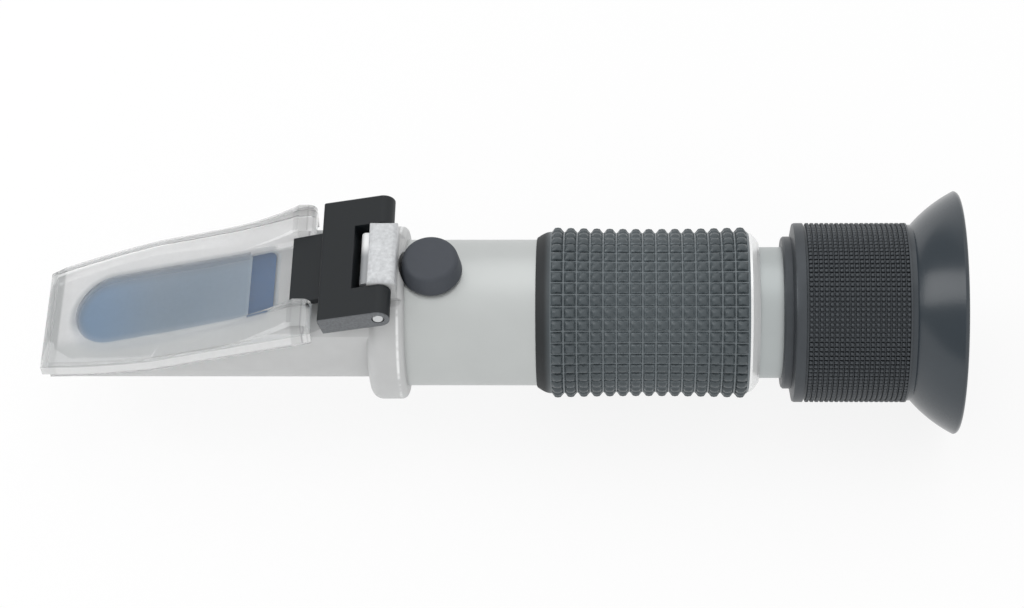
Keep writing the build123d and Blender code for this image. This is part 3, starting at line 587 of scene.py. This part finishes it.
class REFRACTOMETER_OT_stage(bpy.types.Operator):
    """White floor, soft studio light and the camera at the photograph's angle"""

    bl_idname = "refractometer.stage"
    bl_label = "Stage"

    def execute(self, context):
        settings = context.scene.refractometer_stage
        self.add_floor(settings)
        self.add_surroundings(settings)
        self.add_lamps(settings)
        self.add_camera(context, settings)
        context.scene.view_settings.view_transform = "Standard"
        return {"FINISHED"}

    def seen_directly(self, tree):
        """1 for camera, glossy and transmission rays, which then see plain white."""
        path = add(tree, "ShaderNodeLightPath").outputs
        camera_or_glossy = ("MAXIMUM", path["Is Camera Ray"], path["Is Glossy Ray"])
        return formula(tree, ("MAXIMUM", camera_or_glossy, path["Is Transmission Ray"]))

    def add_floor(self, settings):
        """Large white floor under the eyecup's rim."""
        mesh = bpy.data.meshes.new("floor")
        half = settings.floor_half
        corners = [(-half, -half), (half, -half), (half, half), (-half, half)]
        mesh.from_pydata([(x, y, cad_low.z) for x, y in corners], [], [(0, 1, 2, 3)])
        # White studio paper: matt, it spreads the light and hardly shows where the part stands
        made, tree = material("white_studio_paper")
        paper = add(tree, "ShaderNodeBsdfDiffuse", {"Color": settings.paper})
        white = add(tree, "ShaderNodeEmission", {"Strength": 1})
        share = times(tree, self.seen_directly(tree), 1 - settings.floor_shadow)
        both = add(tree, "ShaderNodeMixShader", {0: share, 1: paper.outputs[0], 2: white.outputs[0]})
        finish_with(tree, both.outputs[0])
        mesh.materials.append(made)
        floor = bpy.data.objects.new("floor", mesh)
        bpy.context.scene.collection.objects.link(floor)

    def add_surroundings(self, settings):
        """White room that gives less light than it shows; past the prism it mirrors darker."""
        world = bpy.data.worlds.new("white_room")
        bpy.context.scene.world = world
        world.use_nodes = True
        tree = world.node_tree
        tree.nodes.clear()
        white = (1, 1, 1)
        light = add(tree, "ShaderNodeBackground", {"Color": white, "Strength": settings.room_light})
        direction = add(tree, "ShaderNodeTexCoord").outputs["Generated"]
        x = add(tree, "ShaderNodeSeparateXYZ", {0: direction}).outputs[0]
        mirrored = add(tree, "ShaderNodeLightPath").outputs["Is Glossy Ray"]
        wall = times(tree, ramp(tree, x, WALL_START, WALL_FULL), mirrored)
        strength = blend_values(tree, wall, 1, settings.wall_light)
        seen = add(tree, "ShaderNodeBackground", {"Color": white, "Strength": strength})
        mixed = {0: self.seen_directly(tree), 1: light.outputs[0], 2: seen.outputs[0]}
        both = add(tree, "ShaderNodeMixShader", mixed)
        add(tree, "ShaderNodeOutputWorld", {"Surface": both.outputs[0]})

    def add_lamps(self, settings):
        """Softboxes above and beside the part, a low fill in front, and a strip that only gleams."""
        every = ("diffuse", "glossy", "transmission")
        lean = settings.gleam_roll
        # Name, place, width, height, roll, power, and the rays that meet the lamp
        lamps = (
            ("overhead_softbox", (0, 0.28, 0.54), 0.65, 0.6, 0, settings.overhead_power, every),
            ("side_softbox", (-0.72, 0.1, 0.36), 0.3, 0.6, 0, settings.side_power, ("diffuse",)),
            ("front_fill", (0.15, -0.65, 0.14), 0.9, 0.25, 0, settings.front_power, ("diffuse",)),
            ("gleam_strip", (-0.64, 0.03, 0.46), 0.36, 0.85, lean, settings.gleam_power, ("glossy",)),
        )
        for name, place, width, height, roll, power, rays in lamps:
            lamp = bpy.data.lights.new(name, "AREA")
            lamp.shape = "RECTANGLE"
            lamp.size = width
            lamp.size_y = height
            lamp.energy = power
            obj = bpy.data.objects.new(name, lamp)
            obj.location = place
            obj.rotation_mode = "QUATERNION"
            aim = (-Vector(place)).to_track_quat("-Z", "Y")
            obj.rotation_quaternion = aim @ Quaternion((0, 0, 1), roll)
            for kind in every:
                setattr(obj, "visible_" + kind, kind in rays)
            bpy.context.scene.collection.objects.link(obj)

    def add_camera(self, context, settings):
        """Camera that sees the optical axis level in the picture."""
        up_axis = Vector((0, sin(settings.camera_height_angle), cos(settings.camera_height_angle)))
        back = Vector((0, -cos(settings.camera_height_angle), sin(settings.camera_height_angle)))
        place = Vector((settings.camera_station, 0, 0)) + back * settings.camera_distance
        target = Vector((settings.aim_station, 0, 0)) + up_axis * settings.aim_rise
        forward = (target - place).normalized()
        along = Vector((1, 0, 0))
        right = (along - forward * along.dot(forward)).normalized()
        up = right.cross(forward)
        camera = bpy.data.cameras.new("camera")
        camera.sensor_width = settings.sensor_width
        camera.lens = settings.focal_length
        camera.clip_start = 0.01
        camera.clip_end = 10
        obj = bpy.data.objects.new("camera", camera)
        turn = Matrix((right, up, -forward)).transposed().to_4x4()
        obj.matrix_world = Matrix.Translation(place) @ turn
        context.scene.collection.objects.link(obj)
        context.scene.camera = obj


class REFRACTOMETER_OT_housing(bpy.types.Operator):
    """Cast prism housing with its milled hinge lug"""

    bl_idname = "refractometer.housing"
    bl_label = "Prism housing"

    def execute(self, context):
        settings = context.scene.refractometer_housing
        # Zinc casting under satin enamel: fine cast grain and soft broad highlights; the lug's top is bare
        # milled metal with painted shade and a painted highlight on its step, and a highlight is painted
        # along the collar's rear edge
        made, tree = material("satin_enamelled_zinc_casting")
        x, y, z = object_xyz(tree)
        lug = times(
            tree,
            between(tree, x, LUG_FRONT, LUG_REAR, CRISP),
            between(tree, y, -LUG_HALF_WIDTH, LUG_HALF_WIDTH, CRISP),
            between(tree, z, LUG_FOOT, ABOVE_ALL, 0.3 * MM),
        )
        # Painted highlight: a bright broken line along the collar's rear edge
        rim = times(
            tree,
            between(tree, x, COLLAR_EDGE_FRONT, COLLAR_EDGE_REAR, FAINT),
            ramp(tree, grain(tree, 2.5 * MM), 0.3, 0.55),
            ramp(tree, axis_distance(tree), COLLAR_EDGE_RADIUS - 0.3 * MM, COLLAR_EDGE_RADIUS),
            between(tree, z, BELOW_ALL, COLLAR_EDGE_TOP, 0.5 * MM),
        )
        enamel = shades(tree, settings.casting, 0.05, 3 * MM)
        enamel_and_highlight = blend_colours(tree, rim, enamel, settings.painted_highlight)
        metal = shades(tree, settings.milled_metal, 0.3, 0.6 * MM)
        # Painted shade on the near side of the step before the lug's top, and a painted highlight on its
        # far side
        step = ramp(tree, x, LUG_STEP, LUG_STEP - 0.1 * MM)
        far_side = ramp(tree, y, 0, 3 * MM)
        step_shade_and_highlight = blend_colours(tree, far_side, settings.step_painted_shade, settings.painted_highlight)
        metal = blend_colours(tree, step, metal, step_shade_and_highlight)
        cast_grain = bumped(tree, grain(tree, 0.35 * MM), 0.012 * MM, rounded_edges(tree, 0.35 * MM))
        finish_surface(
            tree,
            {
                "Metallic": 0.15,
                "Base Color": blend_colours(tree, lug, enamel_and_highlight, metal),
                "Roughness": blend_values(tree, lug, 0.42, 0.34),
                "Normal": cast_grain,
            },
        )
        paint(made, "prism_housing")
        return {"FINISHED"}


class REFRACTOMETER_OT_prism(bpy.types.Operator):
    """Measuring prism and its rubber seal"""

    bl_idname = "refractometer.prism"
    bl_label = "Measuring prism"

    def execute(self, context):
        settings = context.scene.refractometer_cover
        # Polished optical glass: its blue base colour is a painted reflection of the blue seen inside the
        # prism, and wiping has left it a little uneven
        made, tree = material("optical_glass_painted_blue")
        finish_surface(
            tree,
            {
                "IOR": 1.52,
                "Transmission Weight": 0.35,
                "Base Color": shades(tree, settings.prism_glass, 0.05, 5 * MM),
                "Roughness": blend_values(tree, grain(tree, 1.5 * MM), 0.01, 0.06),
            },
        )
        paint(made, "measuring_prism")

        # Grey silicone: matt, it only shows as a soft line round the glass
        made, tree = material("grey_silicone_seal")
        finish_surface(
            tree,
            {
                "Base Color": settings.seal,
                "Roughness": 0.75,
                "Normal": bumped(tree, grain(tree, 0.2 * MM), 0.01 * MM),
            },
        )
        paint(made, "prism_seal")
        return {"FINISHED"}


class REFRACTOMETER_OT_cover(bpy.types.Operator):
    """Clear daylight plate, its black bracket and the hinge pin"""

    bl_idname = "refractometer.cover"
    bl_label = "Hinged cover"

    def execute(self, context):
        settings = context.scene.refractometer_cover
        self.add_plate(settings)
        self.paint_bracket(settings)
        self.paint_pin(context.scene.refractometer_housing)
        return {"FINISHED"}

    def add_plate(self, settings):
        """Plate with rounded edges; its underside is matt and its pad is frosted."""
        # Moulded clear acrylic: a polished top, a matt milky underside, and a frosted pad over the prism
        made, tree = material("clear_moulded_acrylic")
        x, y, z = object_xyz(tree)
        level = formula(tree, ("SUBTRACT", z, ("MULTIPLY", x, FACE_SLOPE)))
        glass_level = self.glass_level()
        underside = ramp(tree, level, glass_level + 2.2 * MM, glass_level + 1.8 * MM)
        inward = self.inside_window(tree, x, y)
        before_strip = ramp(tree, x, PAD_REAR + 0.5 * MM, PAD_REAR + 0.3 * MM)
        beside_pad = ramp(tree, x, PAD_REAR + 0.3 * MM, PAD_REAR + 0.5 * MM)
        pad = times(tree, ramp(tree, inward, 0, 1.3 * MM), before_strip)
        window = times(tree, ramp(tree, inward, 0, 0.6 * MM), beside_pad)
        # Painted shade: a greyer band along the bevelled front edge
        front_shade_band = ramp(tree, x, PLATE_LOW.x + 3 * MM, PLATE_LOW.x + 2.5 * MM)
        # Painted shade: the plate's near side is tinted greyer
        near_side_shade = ramp(tree, y, -4 * MM, -7 * MM)
        milky = blend_colours(tree, near_side_shade, settings.acrylic, settings.near_side_shade)
        milky = blend_colours(tree, front_shade_band, milky, settings.front_edge_shade)
        front_to_rear = ramp(tree, x, PLATE_LOW.x + 8 * MM, PLATE_LOW.x + 22 * MM)
        blue = blend_colours(tree, front_to_rear, settings.pad_front, settings.pad)
        # Painted shade: a soft grey rim on the pad's front and far side, where the pad's thickness shades
        # it
        pad_rim = times(
            tree,
            underside,
            ramp(tree, inward, -1.3 * MM, -0.1 * MM),
            ramp(tree, inward, 2.4 * MM, 0.5 * MM),
            ramp(tree, y, -6 * MM, -1 * MM),
            ramp(tree, x, PRISM_HIGH.x + 0.6 * MM, PRISM_HIGH.x - 0.4 * MM),
        )
        # Painted shade: dark streaks where refraction darkens the two rear shoulders
        shoulder = ramp(tree, formula(tree, ("ABSOLUTE", y)), 6.9 * MM, 7.1 * MM)
        shoulder_end = max(v.co.x for v in nodes["daylight_plate"].data.vertices if abs(v.co.y) > 9 * MM)
        speckle_and_painted_streaks = shades(tree, (1, 1, 1), 0.1, 0.7 * MM)
        for start, end, shade in SHOULDER_SHADE_LINES:
            line = between(tree, x, shoulder_end - start, shoulder_end - end, FAINT)
            speckle_and_painted_streaks = blend_colours(tree, times(tree, line, shoulder), speckle_and_painted_streaks, (shade, shade, shade))
        tint = blend_colours(tree, 1, blend_colours(tree, pad, milky, blue), speckle_and_painted_streaks, "MULTIPLY")
        shaded = blend_values(tree, pad_rim, 0, settings.pad_rim_strength)
        tint = blend_colours(tree, shaded, tint, settings.pad_rim)
        # Clear where the bare glass shows, hazy on the rest of the underside, clearer again in the skirts
        see_through = blend_values(tree, pad, 1 - settings.haze, 1 - settings.pad_haze)
        see_through = blend_values(tree, window, see_through, 1)
        see_through = blend_values(tree, underside, settings.top_clarity, see_through)
        skirt = ramp(tree, level, glass_level - 0.1 * MM, glass_level - 0.4 * MM)
        see_through = blend_values(tree, skirt, see_through, settings.skirt_clarity)
        tint = blend_colours(tree, skirt, tint, settings.skirt)
        frost = formula(tree, ("ADD", ("MULTIPLY", window, settings.strip_frost), pad))
        frosted = times(tree, underside, frost)
        clear = add(
            tree,
            "ShaderNodeBsdfPrincipled",
            {
                "IOR": 1.49,
                "Base Color": tint,
                "Transmission Weight": see_through,
                "Roughness": blend_values(tree, frosted, 0.06, settings.pad_roughness),
            },
        )
        # Light on its way to a lamp goes straight through, as it nearly does through thin clear plastic
        shadow = add(tree, "ShaderNodeLightPath").outputs["Is Shadow Ray"]
        through = add(tree, "ShaderNodeBsdfTransparent", {"Color": settings.passing_light})
        both = add(tree, "ShaderNodeMixShader", {0: shadow, 1: clear.outputs[0], 2: through.outputs[0]})
        finish_with(tree, both.outputs[0])
        mesh = softened_copy("daylight_plate_shell", "daylight_plate", settings.edge_round)
        mesh_object("daylight_plate_shell", mesh, made, "cover", "daylight_plate")

    def glass_level(self):
        """Level of the prism's sloping face, with its slope taken out."""
        return max(v.co.z - v.co.x * FACE_SLOPE for v in nodes["measuring_prism"].data.vertices)

    def inside_window(self, tree, x, y):
        """How far inside the round-ended window a point lies, a little less on the far side."""
        half = (PRISM_HIGH.y - PRISM_LOW.y) / 2
        centre = PRISM_LOW.x + half
        along = formula(tree, ("MAXIMUM", ("SUBTRACT", centre, x), 0))
        across = formula(tree, ("ADD", y, PAD_SHIFT))
        reach = add(tree, "ShaderNodeCombineXYZ", {0: along, 1: across}).outputs[0]
        distance = add(tree, "ShaderNodeVectorMath", {"operation": "LENGTH", 0: reach}).outputs["Value"]
        return formula(tree, ("SUBTRACT", half, distance))

    def paint_bracket(self, settings):
        """Bracket of black nylon."""
        # Glass-filled nylon from a spark-eroded mould: black, matt, with a fine even grain; its two end
        # faces are painted paler grey, a painted highlight for the light that falls on the near one
        made, tree = material("black_glass_filled_nylon")
        reach = formula(tree, ("ABSOLUTE", object_xyz(tree)[1]))
        half = nodes["hinge_bracket"].dimensions.y / 2
        # Painted highlight: both end faces are paler
        ends = ramp(tree, reach, half - 0.12 * MM, half - 0.04 * MM)
        black = shades(tree, settings.bracket, 0.1, 0.6 * MM)
        painted_end_light = shades(tree, settings.bracket_end_light, 0.45, 0.35 * MM)
        normal = bumped(tree, grain(tree, 0.25 * MM, 2), 0.015 * MM, rounded_edges(tree, 0.3 * MM))
        finish_surface(
            tree,
            {
                "Roughness": 0.5,
                "Specular IOR Level": 0.38,
                "Base Color": blend_colours(tree, ends, black, painted_end_light),
                "Normal": normal,
            },
        )
        paint(made, "hinge_bracket")

    def paint_pin(self, settings):
        """Ground steel of the pin and the small hardware."""
        # Ground steel: bright grey with fine lines round the pin
        made, tree = material("ground_steel")
        lines = grain(tree, 0.4 * MM, 2, (1, 12, 1))
        finish_surface(
            tree,
            {
                "Base Color": settings.steel,
                "Metallic": 1.0,
                "Roughness": blend_values(tree, lines, 0.25, 0.42),
                "Normal": bumped(tree, lines, 0.004 * MM),
            },
        )
        paint(made, "hinge_pin", "bimetal_strip", "strip_rivets", "barrel_circlip", "guide_pin")

        # The bowed washer, which the bushing squeezes when the lens carriage rises, gets its own mesh and
        # rides on the carriage
        mesh = nodes["backlash_washer"].data.copy()
        washer = mesh_object(
            "squeezed_spring_washer", mesh, made, "objective_carriage", "backlash_washer"
        )
        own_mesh(washer)


class REFRACTOMETER_OT_tube(bpy.types.Operator):
    """Body tube, eyepiece tube, bright ring, calibration cap and screw"""

    bl_idname = "refractometer.tube"
    bl_label = "Tube and calibration"

    def execute(self, context):
        settings = context.scene.refractometer_housing
        rubber = context.scene.refractometer_rubber
        for node_name, name, tint in (
            ("body_tube", "satin_anodised_aluminium_tube", settings.tube),
            ("eyepiece_tube", "satin_anodised_aluminium_eyepiece", settings.sliding_tube),
        ):
            # Turned and satin anodised aluminium: fine rings round the tube stretch its highlight
            made, tree = material(name)
            rings = grain(tree, 0.5 * MM, 2, (8, 0.4, 0.4))
            finish_surface(
                tree,
                {
                    "Metallic": 0.75,
                    "Base Color": shades(tree, tint, 0.03, 6 * MM),
                    "Roughness": blend_values(tree, rings, 0.36, 0.46),
                    "Normal": bumped(tree, rings, 0.003 * MM),
                },
            )
            paint(made, node_name)

        # Satin chrome: nearly white, bright from every side
        made, tree = material("satin_chrome_plate")
        finish_surface(
            tree,
            {
                "Metallic": 0.35,
                "Base Color": shades(tree, settings.bright_ring, 0.04, 4 * MM),
                "Roughness": blend_values(tree, grain(tree, 0.6 * MM), 0.2, 0.3),
            },
        )
        paint(made, "grip_end_ring")

        # Turned brass: warm, with tool rings
        made, tree = material("turned_brass")
        finish_surface(
            tree,
            {
                "Base Color": settings.brass,
                "Metallic": 1.0,
                "Roughness": blend_values(tree, grain(tree, 0.3 * MM), 0.25, 0.4),
            },
        )
        paint(made, "screw_bushing", "calibration_screw")

        # Silicone rubber: matt, slightly blue, with a soft sheen at grazing light
        made, tree = material("moulded_silicone_rubber_cap")
        normal = bumped(tree, grain(tree, 0.3 * MM), 0.01 * MM, rounded_edges(tree, 0.3 * MM))
        finish_surface(
            tree,
            {
                "Roughness": 0.6,
                "Specular IOR Level": 0.4,
                "Base Color": shades(tree, rubber.cap, 0.06, 1.5 * MM),
                "Normal": normal,
            },
        )
        paint(made, "calibration_cap")
        return {"FINISHED"}


class REFRACTOMETER_OT_grip(bpy.types.Operator):
    """Rubber grip with rings of rounded studs"""

    bl_idname = "refractometer.grip"
    bl_label = "Studded grip"

    def execute(self, context):
        settings = context.scene.refractometer_rubber
        # Moulded nitrile rubber: dark grey, satin where hands polish the studs, paler in the grooves
        made, tree = material("moulded_nitrile_rubber_grip")
        x = object_xyz(tree)[0]
        lead_end = GRIP_LOW.x + settings.lead_length
        lip = ramp(tree, x, lead_end + 0.2 * MM, lead_end - 1.2 * MM)
        foot = settings.crest_radius - settings.stud_height
        groove = times(
            tree,
            ramp(tree, axis_distance(tree), foot + 0.25 * MM, foot - 0.05 * MM),
            ramp(tree, x, lead_end - 0.2 * MM, lead_end + 0.2 * MM),
        )
        stud_rubber = shades(tree, settings.grip, 0.1, 2.5 * MM)
        rubber = blend_colours(tree, groove, stud_rubber, settings.paler_grooves)
        finish_surface(
            tree,
            {
                "Roughness": blend_values(tree, lip, 0.4, 0.7),
                "Base Color": blend_colours(tree, lip, rubber, settings.grip_lip),
                "Normal": bumped(tree, grain(tree, 0.3 * MM), 0.01 * MM),
            },
        )
        outline, first = self.outline(settings), lead_end + settings.pitch / 2
        mesh = studded_mesh("studded_grip", outline, studded_sleeve_tree(), settings, first, made)
        mesh_object("studded_grip", mesh, made, "instrument_body", "rubber_grip")
        return {"FINISHED"}

    def outline(self, settings):
        """Outline of the sleeve under the studs, closed along the tube."""
        foot = settings.crest_radius - settings.stud_height
        front, rear = GRIP_LOW.x, GRIP_HIGH.x
        studs_start = front + settings.lead_length
        points = [(front, settings.tube_radius), (front, settings.lip_radius - 0.2 * MM)]
        for step in range(LEAD_STEPS + 1):
            share = step / LEAD_STEPS
            x = front + 0.1 * MM + (settings.lead_length - 0.1 * MM) * share
            rise = sin(share * pi / 2)
            points.append((x, settings.lip_radius + (foot - settings.lip_radius) * rise))
        for step in range(1, WAIST_STEPS + 1):
            share = step / WAIST_STEPS
            x = studs_start + (rear - 0.3 * MM - studs_start) * share
            across = 2 * share - 1
            points.append((x, foot - settings.waist * (1 - across * across)))
        points += [(rear, foot - 0.3 * MM), (rear, settings.tube_radius)]
        return points


class REFRACTOMETER_OT_focus_ring(bpy.types.Operator):
    """Knurled focus ring with its smooth bands"""

    bl_idname = "refractometer.focus_ring"
    bl_label = "Focus ring"

    def execute(self, context):
        settings = context.scene.refractometer_focus
        # Turned, knurled and black anodised aluminium: dark grey with a metal glint on each tooth
        made, tree = material("black_anodised_knurled_aluminium")
        finish_surface(
            tree,
            {
                "Metallic": 0.55,
                "Base Color": shades(tree, settings.metal, 0.1, 2 * MM),
                "Roughness": blend_values(tree, grain(tree, 0.4 * MM), 0.34, 0.48),
            },
        )
        knurl_start, outline = self.outline(settings)
        first = knurl_start + settings.pitch / 2
        tree = bpy.data.node_groups["studded_sleeve"]
        mesh = studded_mesh("knurled_focus_ring", outline, tree, settings, first, made)
        mesh_object("knurled_focus_ring", mesh, made, "focusing_ring", "focus_ring")
        return {"FINISHED"}

    def outline(self, settings):
        """Start of the knurl, and the outline of the ring under its teeth."""
        front = FOCUS_LOW.x
        spigot_end = FOCUS_HIGH.x
        rear = spigot_end - settings.spigot_length
        nose_end = front + settings.nose_length
        band_start = nose_end + settings.shoulder_length
        band_end = band_start + settings.band_length
        knurl_start = band_end + settings.groove_length
        knurl_end = knurl_start + settings.columns * settings.pitch
        radius, cut = settings.crest_radius, settings.chamfer
        foot = radius - settings.stud_height
        tube_end = rear - settings.tube_recess
        outline = [
            (front, settings.tube_radius),
            (front, settings.nose_radius - cut),
            (front + cut, settings.nose_radius),
            (nose_end, settings.nose_radius),
            (band_start - cut / 2, radius - cut / 2),
            (band_start + cut / 2, radius),
            (band_end - cut / 3, radius),
            (band_end, radius - cut / 3),
            (band_end, radius - settings.groove_depth),
            (knurl_start, radius - settings.groove_depth),
            (knurl_start, foot),
            (knurl_end, foot),
            (knurl_end, radius - cut / 2),
            (knurl_end + cut / 2, radius),
            (rear - cut, radius),
            (rear, radius - cut),
            (rear, settings.spigot_radius),
            (spigot_end, settings.spigot_radius),
            (spigot_end, settings.bore_radius),
            (tube_end, settings.bore_radius),
            (tube_end, settings.tube_radius),
        ]
        return knurl_start, outline


class REFRACTOMETER_OT_eyecup(bpy.types.Operator):
    """Flared rubber eyecup"""

    bl_idname = "refractometer.eyecup"
    bl_label = "Eyecup"

    def execute(self, context):
        settings = context.scene.refractometer_rubber
        # Soft moulded rubber: dark, smooth, with a broad dull highlight along the flare
        made, tree = material("soft_moulded_rubber_eyecup")
        finish_surface(
            tree,
            {
                "Roughness": 0.22,
                "IOR": 1.48,
                "Base Color": shades(tree, settings.eyecup, 0.06, 5 * MM),
                "Normal": bumped(tree, grain(tree, 0.4 * MM), 0.006 * MM),
            },
        )
        paint(made, "eyecup")
        return {"FINISHED"}


class REFRACTOMETER_OT_optics(bpy.types.Operator):
    """Lenses, scale glass and the black parts inside the tube"""

    bl_idname = "refractometer.optics"
    bl_label = "Optics"

    def execute(self, context):
        settings = context.scene.refractometer_housing
        # Coated lens glass: clear and faintly green, with a little dust
        made, tree = material("coated_lens_glass")
        finish_surface(
            tree,
            {
                "Base Color": settings.lens,
                "IOR": 1.52,
                "Transmission Weight": 1.0,
                "Roughness": blend_values(tree, grain(tree, 1 * MM), 0.005, 0.03),
            },
        )
        paint(made, "objective_lens", "reticle", "field_lens", "eye_lens")

        # Black anodised aluminium: dull, so that it throws no light into the view
        made, tree = material("dull_black_anodised_aluminium")
        rings = grain(tree, 0.4 * MM, 2, (10, 0.4, 0.4))
        finish_surface(
            tree,
            {
                "Base Color": settings.black_metal,
                "Metallic": 0.4,
                "Roughness": blend_values(tree, rings, 0.5, 0.65),
            },
        )
        paint(
            made,
            "lens_carriage",
            "objective_cell",
            "objective_retainer",
            "reticle_holder",
            "reticle_retainer",
            "guide_sleeve",
            "lens_barrel",
            "lens_spacer",
            "eye_lens_retainer",
        )
        return {"FINISHED"}


class REFRACTOMETER_PT_panel(bpy.types.Panel):
    """Sizes, colours and steps of the refractometer"""

    bl_idname = "REFRACTOMETER_PT_panel"
    bl_label = "Refractometer"
    bl_space_type = "VIEW_3D"
    bl_region_type = "UI"
    bl_category = "Refractometer"

    def draw(self, context):
        for name, group in SETTINGS.items():
            box = self.layout.box()
            box.label(text=group.__doc__)
            settings = getattr(context.scene, name)
            for key in group.__annotations__:
                box.prop(settings, key)
        for step in STEPS:
            self.layout.operator(step.bl_idname)


SETTINGS = {
    "refractometer_stage": StageSettings,
    "refractometer_housing": HousingFinish,
    "refractometer_cover": CoverFinish,
    "refractometer_rubber": RubberFinish,
    "refractometer_focus": FocusRingShape,
}
STEPS = (
    REFRACTOMETER_OT_stage,
    REFRACTOMETER_OT_housing,
    REFRACTOMETER_OT_prism,
    REFRACTOMETER_OT_cover,
    REFRACTOMETER_OT_tube,
    REFRACTOMETER_OT_grip,
    REFRACTOMETER_OT_focus_ring,
    REFRACTOMETER_OT_eyecup,
    REFRACTOMETER_OT_optics,
)
CLASSES = (*SETTINGS.values(), *STEPS, REFRACTOMETER_PT_panel)


def register():
    """Registers the classes and hangs the settings on the scene."""
    for each in CLASSES:
        bpy.utils.register_class(each)
    for name, group in SETTINGS.items():
        setattr(bpy.types.Scene, name, PointerProperty(type=group))


def unregister():
    """Takes the settings and classes away again."""
    for name in SETTINGS:
        delattr(bpy.types.Scene, name)
    for each in reversed(CLASSES):
        bpy.utils.unregister_class(each)


def main():
    """Runs every step in order."""
    register()
    bpy.ops.refractometer.stage()
    bpy.ops.refractometer.housing()
    bpy.ops.refractometer.prism()
    bpy.ops.refractometer.cover()
    bpy.ops.refractometer.tube()
    bpy.ops.refractometer.grip()
    bpy.ops.refractometer.focus_ring()
    bpy.ops.refractometer.eyecup()
    bpy.ops.refractometer.optics()


if __name__ == "__main__":
    main()
